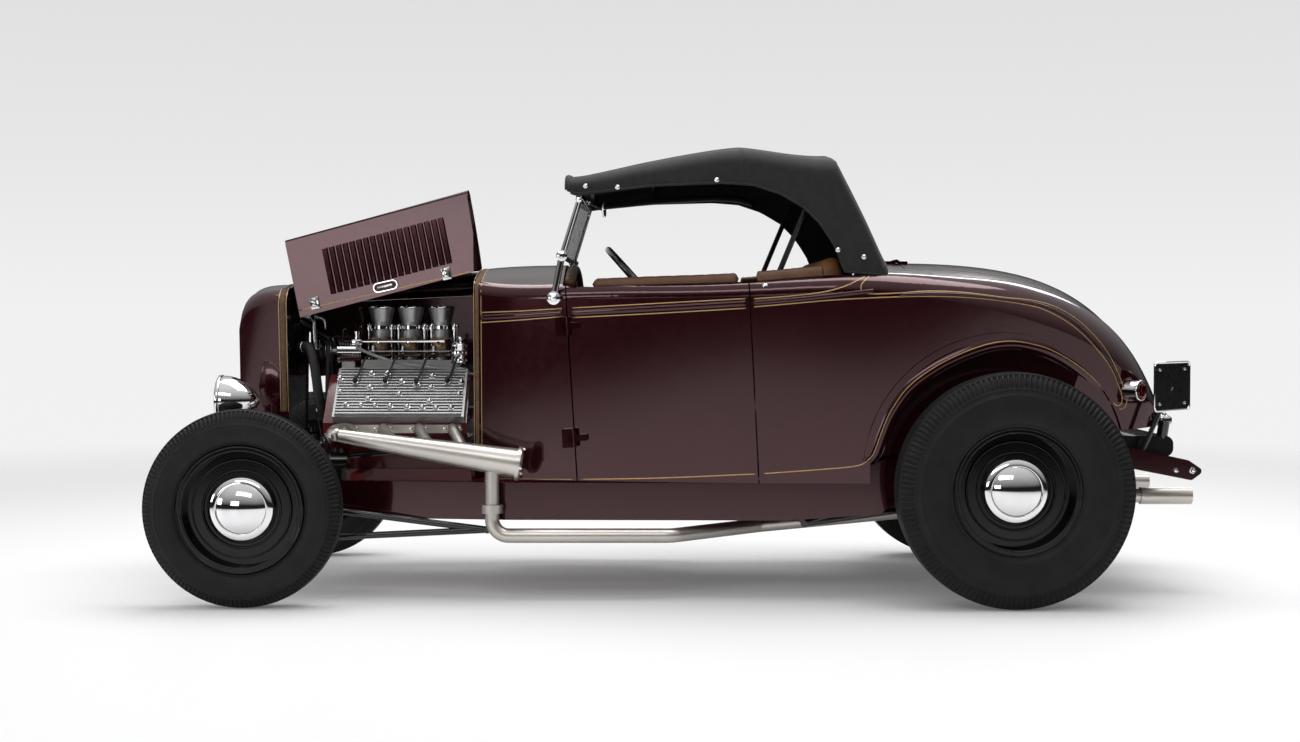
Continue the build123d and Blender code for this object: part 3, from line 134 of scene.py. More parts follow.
def rough(made, scale, low, high, detail=3.0):
    """Lets the roughness drift between two values."""
    sockets = {"Value": noise(made, scale, detail), "To Min": low, "To Max": high}
    dress(made, {"Roughness": add(made.node_tree, "MapRange", sockets).outputs["Result"]})


def bump(made, value, strength, distance=0.001):
    sockets = {"Height": value, "Strength": strength, "Distance": distance}
    dress(made, {"Normal": add(made.node_tree, "Bump", sockets).outputs["Normal"]})


def varied(made, scale, low, high, detail=3.0):
    """Lets the base colour drift between two shades of it."""
    colour = made.diffuse_color[:3]
    stops = [(at, tuple(c * factor for c in colour)) for at, factor in ((0.3, low), (0.7, high))]
    dress(made, {"Base Color": ramp(made.node_tree, noise(made, scale, detail), stops)})


def paint(name, colour, roughness, coat_roughness, level=0.2, coat=1.0, coat_ior=1.5, tint=(1, 1, 1)):
    """Gloss enamel. A tint colours the gloss under the clear coat, as flakes in a paint do."""
    made = dress(new_material(name, colour, roughness), {
        "Coat Weight": coat, "Coat Roughness": coat_roughness, "Coat IOR": coat_ior,
        "Specular IOR Level": level, "Specular Tint": (*tint, 1),
    })
    varied(made, 3.0, 0.86, 1.12)
    rough(made, 40, roughness - 0.05, roughness + 0.06)
    bump(made, noise(made, 260, 2.0), 0.03, 0.0004)
    return made


def metal(name, colour, rough_low, rough_high, grain=600, depth=0.05, scale=30):
    made = new_material(name, colour, rough_low, metallic=1.0)
    varied(made, scale / 4, 0.9, 1.05)
    rough(made, scale, rough_low, rough_high)
    bump(made, noise(made, grain, 2.0), depth, 0.0003)
    return made


def rubber(colour):
    made = dress(new_material("tyre_rubber_fine", colour, 0.55), {"Specular IOR Level": 0.22})
    varied(made, 14.0, 0.75, 1.3, 6.0)
    rough(made, 60, 0.45, 0.68)
    bump(made, noise(made, 900), 0.12, 0.0005)
    return made


def glass(name, colour):
    made = dress(new_material(name, colour, 0.0), {"Transmission Weight": 1.0, "IOR": 1.45})
    rough(made, 25, 0.0, 0.015)
    return made


def leather(name, colour):
    made = new_material(name, colour, 0.42)
    varied(made, 18.0, 0.72, 1.15, 6.0)
    rough(made, 120, 0.34, 0.58, 4.0)
    bump(made, both(made, cells(made, 420), noise(made, 900, 4.0)), 0.22, 0.0008)
    return made


def canvas(colour):
    made = dress(new_material("black_canvas_weave", colour, 0.88), {"Sheen Weight": 0.1})
    weave = both(made, both(made, wave(made, 420, "X"), wave(made, 420, "Y")), wave(made, 420, "Z"))
    varied(made, 30.0, 0.7, 1.35, 8.0)
    rough(made, 200, 0.78, 0.95)
    bump(made, both(made, weave, noise(made, 700, 2.0)), 0.25, 0.0006)
    return made


PAINT = paint("maroon_gloss", (0.014, 0.0015, 0.0026), 0.14, 0.02, 0.46, 0.7, tint=(1.0, 0.38, 0.44))
CHROME = metal("chrome_bright", (0.82, 0.82, 0.83), 0.03, 0.07, depth=0.01)
NICKEL = metal("satin_nickel", (0.6, 0.565, 0.525), 0.28, 0.4, 900, 0.08, 12)
CANVAS = canvas((0.0095, 0.0095, 0.010))
TYRE = rubber((0.0085, 0.0085, 0.009))
RED_LENS = glass("ruby_lens", (0.55, 0.01, 0.012))
SADDLE = leather("saddle_leather", (0.34, 0.135, 0.045))
FINISH = {
    "maroon_paint": PAINT,
    "black_paint": paint("black_gloss", (0.0065, 0.0065, 0.007), 0.28, 0.05),
    "tyre_rubber": TYRE,
    "chrome_plate": CHROME,
    "polished_aluminium": metal("cast_aluminium", (0.40, 0.40, 0.40), 0.34, 0.46, 500, 0.08),
    "engine_red": paint("block_red", (0.105, 0.008, 0.009), 0.34, 0.09),
    "nickel_exhaust": NICKEL,
    "clear_glass": glass("window_glass", (0.98, 1.0, 0.99)),
    "lamp_glass": glass("lamp_lens", (0.97, 0.98, 1.0)),
    "red_lens": RED_LENS,
    "tan_leather": SADDLE,
    "black_canvas": CANVAS,
    "wheel_rim_plastic": paint("dark_bakelite", (0.012, 0.009, 0.008), 0.25, 0.06),
}
WHEEL_BLACK = paint("wheel_black", (0.0025, 0.0025, 0.003), 0.25, 0.03, 0.08, coat_ior=1.32)
SPECIAL = {"wheel_front": WHEEL_BLACK, "wheel_rear": WHEEL_BLACK, "tail_lamps": CHROME}
GOLD = metal("gold_line", (0.50, 0.33, 0.16), 0.36, 0.5, 900, 0.03)
STEEL = metal("bright_steel", (0.55, 0.55, 0.56), 0.16, 0.3, 800, 0.08)
BRASS = metal("aged_bronze", (0.40, 0.29, 0.16), 0.3, 0.5, 700, 0.2)
# Near-black: the real colour of the gauge faces and top bows, and painted shade in the exhaust cones' open
# mouths
DARK = new_material("black_and_painted_shade", (0.004, 0.004, 0.004), 0.7)
bump(DARK, noise(DARK, 300), 0.2)
# A darker copy of the saddle leather: painted shade for the cockpit rails, dash roll and door cards, which
# sit in shade
LEATHER_PAINTED_SHADE = leather("saddle_leather_painted_shade", (0.12, 0.05, 0.018))
RUBBER = new_material("hose_rubber", (0.008, 0.008, 0.0085), 0.55)
BRONZE = new_material("carburettor_bronze", (0.19, 0.125, 0.075), 0.42, 0.85)
varied(BRONZE, 45, 0.55, 1.35)
CERAMIC = new_material("plug_ceramic", (0.62, 0.6, 0.55), 0.3)
# The rear window as an opaque glossy sheet: its gloss is the pane's own, its near-black colour painted shade
# of the cabin behind it
PANE_PAINTED_SHADE = new_material("rear_pane_painted_shade", (0.02, 0.022, 0.022), 0.08)
BRAID = new_material("braided_hose", (0.42, 0.42, 0.41), 0.35, 0.9)
bump(BRAID, both(BRAID, wave(BRAID, 420, "X"), wave(BRAID, 420, "Z")), 0.6, 0.001)
WEBBING = new_material("hood_lacing", (0.115, 0.066, 0.032), 0.8)
varied(WEBBING, 60, 0.7, 1.25)
bump(WEBBING, both(WEBBING, wave(WEBBING, 300, "Y"), wave(WEBBING, 300, "Z")), 0.35, 0.0008)
# Painted shade: a near-black strip stands in for the shaded opening behind each louvre
LOUVRE_SHADE = dress(new_material("louvre_painted_shade", (0.002, 0.0018, 0.002), 0.9), {"Specular IOR Level": 0.02})
varied(LOUVRE_SHADE, 60.0, 0.7, 1.3)

for subpart in frame["record"]["subparts"]:
    special = [made for start, made in SPECIAL.items() if subpart["node"].startswith(start)]
    finish = special[0] if special else FINISH.get(subpart["material_slot"])
    if finish:
        materials = frame["nodes"][subpart["node"]].data.materials
        materials.clear()
        materials.append(finish)


# Camera, floor and light


def link_object(name, data):
    made = bpy.data.objects.new(name, data)
    bpy.context.scene.collection.objects.link(made)
    return made


def make_camera():
    data = bpy.data.cameras.new("camera")
    data.sensor_width = SENSOR
    data.lens = SENSOR * FOCAL_PIXELS / IMAGE_WIDTH
    data.clip_end = 200
    camera = link_object("camera", data)
    camera.location = EYE
    camera.rotation_euler = (math.pi / 2 - PITCH, 0, 0)
    bpy.context.scene.camera = camera


def area_light(name, location, target, size, power):
    data = bpy.data.lights.new(name, "AREA")
    data.shape = "RECTANGLE"
    data.size, data.size_y = size
    data.energy = power
    light = link_object(name, data)
    light.location = location
    light.rotation_euler = (Vector(target) - Vector(location)).to_track_quat("-Z", "Y").to_euler()
    light.visible_camera = False


FLOOR_SIZE = 30
FLOOR_FADE = (3.2, 9.0)


def make_floor():
    """A pale floor that fades into the backdrop."""
    near, far = FLOOR_FADE
    made = dress(new_material("studio_floor", (0.77, 0.77, 0.77), 0.5), {
        "Specular IOR Level": 0.15, "Emission Color": (1, 1, 1, 1), "Emission Strength": 0.1,
    })
    tree = made.node_tree
    length = add(tree, "VectorMath", {0: place(made)}, operation="LENGTH").outputs["Value"]
    sockets = {"Value": length, "From Min": near, "From Max": far}
    fade = add(tree, "MapRange", sockets, interpolation_type="SMOOTHSTEP")
    clear = add(tree, "BsdfTransparent", {})
    solid = tree.nodes["Principled BSDF"].outputs["BSDF"]
    mix = add(tree, "MixShader", {"Fac": fade.outputs["Result"], 1: solid, 2: clear.outputs["BSDF"]})
    fill_sockets(tree, tree.nodes["Material Output"], {"Surface": mix.outputs["Shader"]})
    mesh = bpy.data.meshes.new("floor")
    corners = [(x * FLOOR_SIZE, y * FLOOR_SIZE, 0) for x, y in ((-1, -1), (1, -1), (1, 1), (-1, 1))]
    mesh.from_pydata(corners, [], [(0, 1, 2, 3)])
    mesh.materials.append(made)
    link_object("floor", mesh)


# Level of light by height, from straight down at 0 to straight up at 1
BACKDROP = [(0.0, 0.94), (0.5, 0.88), (0.54, 0.80), (0.62, 0.70), (1.0, 0.66)]
DOME = [
    (0.0, 0.8), (0.3, 0.85), (0.416, 0.85), (0.428, 0.02),
    (0.545, 0.012), (0.6, 0.2), (0.75, 0.5), (1.0, 0.85),
]


def make_world():
    """A pale backdrop for the camera and through glass, a soft studio dome for the light."""
    world = bpy.data.worlds.new("studio")
    bpy.context.scene.world = world
    world.use_nodes = True
    tree = world.node_tree
    tree.nodes.clear()
    direction = add(tree, "TexCoord", {}).outputs["Generated"]
    up = add(tree, "SeparateXYZ", {"Vector": direction}).outputs["Z"]
    height = add(tree, "MapRange", {"Value": up, "From Min": -1, "From Max": 1}).outputs["Result"]
    backs = []
    for stops in (DOME, BACKDROP):
        colour = ramp(tree, height, [(at, (level, level, level * 1.005)) for at, level in stops])
        backs.append(add(tree, "Background", {"Color": colour}).outputs["Background"])
    path = add(tree, "LightPath", {}).outputs
    rays = {0: path["Is Camera Ray"], 1: path["Is Transmission Ray"]}
    either = add(tree, "Math", rays, operation="MAXIMUM").outputs["Value"]
    mix = add(tree, "MixShader", {"Fac": either, 1: backs[0], 2: backs[1]})
    add(tree, "OutputWorld", {"Surface": mix.outputs["Shader"]})


make_camera()
make_floor()
make_world()
area_light("overhead", (0.2, 0.2, 5.2), (0.1, 0, 0.5), (5.5, 3.2), 240)
area_light("front_key", (-1.5, -6.5, 4.6), (-0.2, 0, 0.7), (5.0, 1.4), 70)
area_light("rear_fill", (2.5, 5.0, 4.2), (0.2, 0, 0.6), (4.0, 1.6), 80)
area_light("hood_card", (-3.59, -5.70, 1.30), (-1.13, -0.24, 1.24), (1.9, 0.95), 20)
area_light("louvre_card", (-7.0, -1.6, 1.45), (-1.1, -0.25, 1.24), (3.4, 1.2), 60)
bpy.context.scene.view_settings.view_transform = "Standard"

# Mesh helpers

# The least radius of a turned profile, in millimetres
TINY = 0.2


def piece(name, fill, material, body="chassis", sharp=35):
    """One object from a function that fills a bmesh. It rides on a body and takes its material's slot."""
    work = bmesh.new()
    fill(work)
    bmesh.ops.recalc_face_normals(work, faces=work.faces)
    mesh = bpy.data.meshes.new(name)
    work.to_mesh(mesh)
    work.free()
    for polygon in mesh.polygons:
        polygon.use_smooth = True
    mesh.materials.append(material)
    if sharp:
        mesh.set_sharp_from_angle(angle=math.radians(sharp))
    made = link_object(name, mesh)
    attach(made, body)
    return made


def pair(name, fill, material, body="chassis", sharp=35):
    """A piece for each side, from a function of the bmesh and the side's sign."""
    made = []
    for side, sign in SIDES.items():
        made.append(piece(
            f"{name}_{side}", lambda work: fill(work, sign), material, body.format(side=side), sharp))
    return made


def on_side(p, sign):
    """A point or direction given for the left, on the side asked for."""
    return Vector((p[0], p[1] if sign == LEFT else -p[1], p[2]))


def skin(work, rows, loop_rows=False, loop_columns=True, caps=False):
    """Faces between neighbouring rows of vertices."""
    count = len(rows[0])
    for near, far in zip(rows, rows[1:] + rows[:1] if loop_rows else rows[1:]):
        for step in range(count if loop_columns else count - 1):
            after = (step + 1) % count
            work.faces.new([near[step], near[after], far[after], far[step]])
    if caps:
        work.faces.new(rows[0])
        work.faces.new(list(reversed(rows[-1])))


def rim_of(grid):
    """What lies round a grid's edge, in order."""
    return grid[0] + [row[-1] for row in grid[1:]] + grid[-1][-2::-1] + [row[0] for row in grid[-2:0:-1]]


def shell_into(work, upper, lower):
    """A closed thin shell between two grids of vertices."""
    skin(work, upper, False, False)
    skin(work, lower, False, False)
    skin(work, [rim_of(upper), rim_of(lower)])


def turned_into(work, profile, origin, axis, segments, closed=False):
    """Turns (radius, height) points in millimetres about an axis: a closed ring, or a capped stud."""
    axis = Vector(axis).normalized()
    side = axis.orthogonal().normalized()
    other = axis.cross(side)
    rings = []
    for index in range(segments):
        angle = 2 * math.pi * index / segments
        out = side * math.cos(angle) + other * math.sin(angle)
        rings.append([work.verts.new(origin + (out * max(r, TINY) + axis * h) / 1000) for r, h in profile])
    skin(work, rings, True, closed)
    if not closed:
        work.faces.new([ring[0] for ring in rings])
        work.faces.new([ring[-1] for ring in rings])


def circle(radius, height, size, count=10):
    """A round section of a ring, as (radius, height) points."""
    angles = [2 * math.pi * k / count for k in range(count)]
    return [(radius + size * math.cos(a), height + size * math.sin(a)) for a in angles]


def swept_into(work, points, radii, segments=10, flat=1.0, up=None):
    """A tube along points. flat squeezes the section along its second axis."""
    if not hasattr(radii, "__len__"):
        radii = [radii] * len(points)
    last = len(points) - 1
    tangents = [(points[min(k + 1, last)] - points[max(k - 1, 0)]).normalized() for k in range(last + 1)]
    side = Vector(up) if up else tangents[0].orthogonal()
    rings = []
    for point, tangent, radius in zip(points, tangents, radii):
        side = (side - tangent * side.dot(tangent)).normalized()
        other = tangent.cross(side)
        ring = []
        for step in range(segments):
            angle = 2 * math.pi * step / segments
            out = side * math.cos(angle) * radius + other * math.sin(angle) * radius * flat
            ring.append(work.verts.new(point + out))
        rings.append(ring)
    skin(work, rings, caps=True)


def block_into(work, centre, size, bevel, turn=None):
    """A box with rounded edges, in metres."""
    placed = Matrix.Translation(centre) @ (turn or Matrix.Identity(4)) @ Matrix.Diagonal((*size, 1))
    corners = bmesh.ops.create_cube(work, size=1, matrix=placed)["verts"]
    edges = {edge for corner in corners for edge in corner.link_edges}
    bmesh.ops.bevel(
        work, geom=list(edges), offset=bevel, segments=3, affect="EDGES", profile=0.5, clamp_overlap=True)


def catmull(a, b, c, d, u):
    """A smooth curve from b to c at u, from 0 to 1, with its neighbours a and d."""
    square = 2 * a - 5 * b + 4 * c - d
    cube = 3 * b - a - 3 * c + d
    return 0.5 * (2 * b + (c - a) * u + square * u ** 2 + cube * u ** 3)


def curve_points(controls, count):
    """Points of a smooth curve through the controls."""
    controls = [Vector(c) for c in controls]
    padded = [controls[0] * 2 - controls[1]] + controls + [controls[-1] * 2 - controls[-2]]
    spans = len(controls) - 1
    result = []
    for index in range(count):
        t = spans * index / (count - 1)
        k = min(int(t), spans - 1)
        result.append(catmull(*padded[k:k + 4], t - k))
    return result


def pixel_curve(pixels, count):
    return curve_points([(px, py, 0) for px, py in pixels], count)


def tube(name, controls, radius, material, count, segments):
    points = curve_points(controls, count)
    piece(name, lambda work: swept_into(work, points, radius, segments), material, sharp=None)


def span_at(table, where):
    """A value read off a table of (where, value), straight between its rows."""
    for (a, p), (b, q) in zip(table, table[1:]):
        if where <= b:
            return p + (q - p) * max(where - a, 0) / (b - a)
    return table[-1][1]


# Rays from the camera onto the solids

TREES = {}


def tree_of(node):
    if node not in TREES:
        mesh = frame["nodes"][node].data
        TREES[node] = BVHTree.FromPolygons([v.co for v in mesh.vertices], [p.vertices for p in mesh.polygons])
    return TREES[node]


def ray_through(px, py):
    forward = Vector((0, math.cos(PITCH), -math.sin(PITCH)))
    above = Vector((0, math.sin(PITCH), math.cos(PITCH)))
    return forward * FOCAL_PIXELS + Vector((px - IMAGE_WIDTH / 2, 0, 0)) + above * (IMAGE_HEIGHT / 2 - py)


def seen_at(px, py, node):
    """Where the camera's ray through a pixel first meets a node: the point and its normal, or None."""
    along = ray_through(px, py)
    location, normal, _, _ = tree_of(node).ray_cast(EYE, along.normalized())
    return (location, normal if normal.dot(along) < 0 else -normal) if location else None


def pixel_at(px, py, offset):
    """Where the camera's ray through a pixel reaches a distance across the car, in metres."""
    along = ray_through(px, py)
    return EYE + along * ((offset - EYE.y) / along.y)


# A strip's section: share of its half width, share of its rise
STRIP = [(-1, -0.8), (-0.9, 0.75), (-0.35, 1), (0.35, 1), (0.9, 0.75), (1, -0.8)]


def ribbon_into(work, path, width, rise):
    """A thin crowned strip lying on a surface. path holds (point, normal)."""
    rows = []
    last = len(path) - 1
    for index, (point, normal) in enumerate(path):
        along = path[min(index + 1, last)][0] - path[max(index - 1, 0)][0]
        across = along.cross(normal).normalized() * width / 2
        rows.append([work.verts.new(point + across * share + normal * rise * up) for share, up in STRIP])
    skin(work, rows, caps=True)


def drawn(name, pixels, node, width, rise, material, body, count):
    """A strip drawn in pixels on the left side, and its mirror image on the right."""
    hits = [seen_at(p.x, p.y, node) for p in pixel_curve(pixels, count)]

    def fill(work, sign):
        path = [(on_side(hit[0], sign), on_side(hit[1], sign)) for hit in hits if hit]
        ribbon_into(work, path, width, rise)

    pair(name, fill, material, body, None)


# Wheels: round-shouldered cross-plies with ribbed tread, rolled rim steps and full hubcaps

NOTCHES = 132
NOTCH_STEPS = 4
NOTCH_DEPTH = 0.004
BEAD = 0.222
RIBS = 5
GROOVE = 0.006
GROOVE_DEPTH = 0.0065
TREAD_CROWN = 0.0035
# Share of the wall's height, how far the wall lies in from the widest point in millimetres, notched
WALL = [
    (-0.004, 24, 0), (0.01, 16, 0), (0.045, 12.5, 0), (0.07, 12.8, 0), (0.09, 9.5, 0), (0.16, 5.6, 0),
    (0.25, 2.4, 0), (0.34, 0.5, 0), (0.43, 0, 0), (0.52, 0.9, 0), (0.585, 2.5, 0), (0.60, 1.6, 0),
    (0.615, 3.6, 0), (0.66, 5.6, 0), (0.70, 7.6, 0), (0.712, 7.0, 0), (0.728, 8.6, 0), (0.735, 9.0, 1),
    (0.80, 13, 1), (0.86, 18.5, 1), (0.91, 24.5, 1), (0.95, 30.5, 1), (0.958, 32.5, 0),
]
# End: axle, tyre radius, tyre width, half track, flange and disc face from the wheel's middle in millimetres
AXLES = {
    "front": (FRONT_AXLE, 0.348, 0.140, 0.711, (62.3, 14)),
    "rear": (REAR_AXLE, 0.413, 0.205, 0.725, (88.3, 30)),
}
FLANGE, DISC = 0, 1
# Radius of each rolled step, the face that it lies on, its height over that face, its size
STEPS = [
    (219, FLANGE, 0, 3.6), (206, FLANGE, 0, 3.0),
    (172, DISC, 9, 3.2), (136, DISC, 9, 3.2), (121, DISC, 1, 2.6),
]
CAP_SEAT = 9.3
CAP = [
    (110, 0), (114, 1.5), (115.5, 5), (114, 9), (108, 14), (98, 18.4), (90, 20.6), (88, 20.2), (87, 19.2),
    (86, 20.4), (82, 23), (70, 30), (56, 36.5), (40, 41.5), (22, 44.8), (8, 45.9), (0, 46),
]


def tyre_profile(radius, half):
    """(radius, offset, notched) from the outer bead over the tread to the inner bead."""
    outer = [(BEAD + (radius - BEAD) * share, half - inset / 1000, flag) for share, inset, flag in WALL]
    tread = []
    edge = half - 0.035
    width = 2 * edge / RIBS
    for rib in range(RIBS):
        left = edge - rib * width
        right = left - width
        for offset in (left - (GROOVE / 2 if rib else 0), right + (GROOVE / 2 if rib < RIBS - 1 else 0)):
            tread.append((radius - TREAD_CROWN * (offset / edge) ** 2, offset, 0))
        if rib < RIBS - 1:
            floor = radius - TREAD_CROWN * (right / edge) ** 2 - GROOVE_DEPTH
            tread += [(floor, right + shift * (GROOVE / 2 - 0.0006), 0) for shift in (1, -1)]
    return outer + tread + [(r, -w, flag) for r, w, flag in reversed(outer)]


def tyre_into(work, radius, half, centre):
    profile = tyre_profile(radius, half)
    segments = NOTCHES * NOTCH_STEPS
    rings = []
    for index in range(segments):
        angle = 2 * math.pi * index / segments
        out = Vector((math.cos(angle), 0, math.sin(angle)))
        depth = NOTCH_DEPTH if index % NOTCH_STEPS in (1, 2) else 0.0
        ring = []
        for r, w, notched in profile:
            dent = depth * notched
            point = centre + out * (r - dent * 0.6) + Vector((0, w - math.copysign(dent, w), 0))
            ring.append(work.verts.new(point))
        rings.append(ring)
    skin(work, rings, True)


def steps_into(work, faces, centre, out):
    for ring, face, rise, size in STEPS:
        turned_into(work, circle(ring, faces[face] + rise - 1, size), centre, out, 96, True)


for end, (axle, radius, width, track, faces) in AXLES.items():
    cap_profile = [(r, faces[DISC] + CAP_SEAT + h) for r, h in CAP]
    for side, sign in SIDES.items():
        corner = f"{end}_{side}"
        body = f"wheel_{corner}"
        hub = Vector((axle, sign * track, radius))
        out = (0, sign, 0)
        tread = piece(
            f"tyre_{corner}_tread", lambda work: tyre_into(work, radius, width / 2, hub), TYRE, body, 40)
        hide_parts(f"tyre_{corner}")
        piece(
            f"wheel_steps_{corner}", lambda work: steps_into(work, faces, hub, out), WHEEL_BLACK, body, None)
        cap = piece(
            f"hubcap_full_{corner}", lambda work: turned_into(work, cap_profile, hub, out, 96),
            CHROME, body, 50)
        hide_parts(f"hubcap_{corner}")

# Pinstripes, belt moulding and hood lacing

STRIPE = 0.0042
RISE = 0.0007
UPPER_FRONT = [(481, 312.5), (520, 311), (562, 308.5)]
UPPER_DOOR = [(572, 308), (655, 303.5), (746, 298.6)]
UPPER_QUARTER = [(754, 298.8), (792.5, 295.9), (827, 291.3), (847.6, 285.1), (861.4, 278.2), (873, 272.4)]
UPPER_TAIL = [
    (877, 272), (868.3, 277.1), (861.4, 285.1), (862.8, 291.3), (872, 293.8), (900, 293), (930, 291.2),
    (964.8, 292.6), (1003.8, 297.4), (1030, 300), (1048.7, 304.3), (1065.9, 312), (1083.1, 324.4),
    (1100.4, 342.3), (1111.8, 359.5), (1121, 380), (1126, 396), (1126.5, 403), (1124, 408), (1119.5, 409.5),
]
LOWER_FRONT = [(481, 322.6), (520, 320), (562, 316.6)]
LOWER_DOOR = [(572, 317.6), (655, 313.4), (746, 308.2)]
LOWER_TAIL = [
    (754, 306.9), (792.5, 303.5), (838.4, 299.6), (900, 296.8), (940, 296.4), (975, 298), (1003.8, 301.2),
    (1025, 304.6), (1043, 309.2), (1065.9, 321), (1084.3, 335.6), (1100.4, 353.2), (1111.8, 369.4),
    (1119.5, 388), (1122, 398), (1121, 404), (1117.5, 405.6), (1113.5, 403),
]
ARCH = [
    (1113.5, 403), (1104.9, 391.7), (1093.5, 378.4), (1079.7, 366.8), (1063.6, 356.4), (1045, 347.6),
    (1020, 341.8), (1000, 342), (980, 346.5), (955.8, 356), (931.8, 369), (907.9, 387.5), (890.5, 412),
    (881.5, 433), (874, 453), (867.4, 461.3),
]
SILL_REAR = [(867.4, 461.3), (856.9, 465.8), (829.9, 468.8), (764, 473.6)]
SILL_DOOR = [(580, 479.4), (660, 478), (756, 474)]
SILL_FRONT = [(484, 478), (530, 479.2), (573, 479.6)]
DOOR = "door_{side}"
# The node that a strip lies on and its body, by the strip's first word
PANELS = {"cowl": ("cowl", "chassis"), "door": ("door_left", DOOR)}
TAIL_PANEL = ("rear_body", "chassis")
STRIPES = {
    "cowl_upper": (UPPER_FRONT, 20),
    "cowl_lower": (LOWER_FRONT, 20),
    "door_upper": (UPPER_DOOR, 30),
    "door_lower": (LOWER_DOOR, 30),
    "door_sill": (SILL_DOOR, 30),
    "cowl_sill": (SILL_FRONT, 20),
    "quarter_upper": (UPPER_QUARTER, 40),
    "tail_upper": (UPPER_TAIL, 160),
    "panel_loop": (LOWER_TAIL, 200),
    "sill_rear": (SILL_REAR, 40),
}
for name, (pixels, count) in STRIPES.items():
    node, body = PANELS.get(name.split("_")[0], TAIL_PANEL)
    drawn(f"stripe_{name}", pixels, node, STRIPE, RISE, GOLD, body, count)

BELT_POINTS = 60
BELT_RISE = 0.004
# Moulding: its upper and lower stripe, its width
MOULDING = {
    "cowl": (UPPER_FRONT, LOWER_FRONT, 0.020),
    "door": (UPPER_DOOR, LOWER_DOOR, 0.021),
    "tail": (UPPER_TAIL[5:16], LOWER_TAIL[3:14], 0.011),
    "quarter": (UPPER_QUARTER[:4], LOWER_TAIL[:4], 0.016),
}
for name, (upper, lower, width) in MOULDING.items():
    node, body = PANELS.get(name, TAIL_PANEL)
    lines = zip(pixel_curve(upper, BELT_POINTS), pixel_curve(lower, BELT_POINTS))
    middle = [((a.x + b.x) / 2, (a.y + b.y) / 2) for a, b in lines]
    drawn(f"belt_{name}", middle, node, width, BELT_RISE, PAINT, body, BELT_POINTS)

HOOP_HALF = 125
HOOP_STEPS = 90


def hoop(node, station, low):
    """Points and normals over a node's outside at one station, from its left foot to its right foot."""
    path = []
    hub = spot(station, 0, 800)
    for index in range(HOOP_STEPS + 1):
        angle = math.radians(HOOP_HALF * (2 * index / HOOP_STEPS - 1))
        out = Vector((0, math.sin(angle), math.cos(angle)))
        location, normal, _, _ = tree_of(node).ray_cast(hub + out * 2, -out)
        if location and location.z > low:
            normal = normal if normal.dot(out) > 0 else -normal
            path.append((location, Vector((0, normal.y, normal.z)).normalized()))
    return path


for name, node, station, low in (("cowl", "cowl", 793, 0.44), ("shell", "radiator_shell", 48, 0.46)):
    for label, shift, material, width, rise in (
            (f"lacing_{name}", 0, WEBBING, 0.019, 0.0022), (f"stripe_{name}_fore", -14, GOLD, 0.003, RISE),
            (f"stripe_{name}_aft", 14, GOLD, 0.003, RISE)):
        path = hoop(node, station + shift, low)
        piece(label, lambda work: ribbon_into(work, path, width, rise), material, sharp=None)

# Soft top: one stretched sheet over its bows, hemmed on the body and the windshield

# Sections: station, half width at the foot, half width, shoulder, its run and rise, crown
TOP_ROWS = [
    (1128, 514, 528, 1478, 70, 40, 1540),
    (1450, 566, 572, 1530, 75, 50, 1618),
    (1742, 590, 594, 1560, 78, 56, 1652),
    (2083, 600, 602, 1520, 84, 62, 1624),
    (2180, 600, 602, 1330, 84, 62, 1440),
    (2268, 596, 598, 1140, 84, 62, 1240),
]
TOP_FOOT = 1000
TOP_FRONT = 1126
TOP_TURN = 2083
TOP_END = 2268
TURN_REACH = 13
BOWS = (1128, 1752, 2083)
SAGS = (11, 9)
CANVAS_THICK = 0.003
FOLD_RISE, FAN_RISE = 2.2, 1.4
DECK_LOW = 1100
# The side's lower hem: station, height
HEM = [
    (1126, 1470), (1163, 1453), (1199, 1459), (1440, 1483), (1685, 1491), (1791, 1483), (1888, 1451),
    (1970, 1402), (2035, 1336), (2084, 1256), (2112, 1176), (2300, 1160),
]
CROWN_COLUMNS = 22
CORNER_COLUMNS = 9
SIDE_COLUMNS = 12
ROOF_ROWS = 66
BACK_ROWS = 34


def raw_row(station):
    """One section at a station: smooth over the roof, straight down the back."""
    last = len(TOP_ROWS) - 2
    index = next((k for k in range(last) if station <= TOP_ROWS[k + 1][0]), last)
    a, b = TOP_ROWS[index:index + 2]
    t = (station - a[0]) / (b[0] - a[0])
    if index > 2:
        return [p + (q - p) * t for p, q in zip(a, b)]
    before = TOP_ROWS[max(index - 1, 0)]
    after = TOP_ROWS[index + 2] if index < 2 else b
    return [catmull(*values, t) for values in zip(before, a, b, after)]


def top_row(station):
    """The section with its rear turn softened and the canvas sagging between its bows."""
    shifts = (-TURN_REACH, -TURN_REACH / 2, 0, TURN_REACH / 2, TURN_REACH)
    parts = [raw_row(min(max(station + shift, TOP_ROWS[0][0]), TOP_END)) for shift in shifts]
    row = [sum(column) / len(parts) for column in zip(*parts)]
    for start, end, depth in zip(BOWS, BOWS[1:], SAGS):
        if start < station < end:
            dip = depth * math.sin(math.pi * (station - start) / (end - start))
            row[6] -= dip
            row[3] -= dip * 0.6
    return row


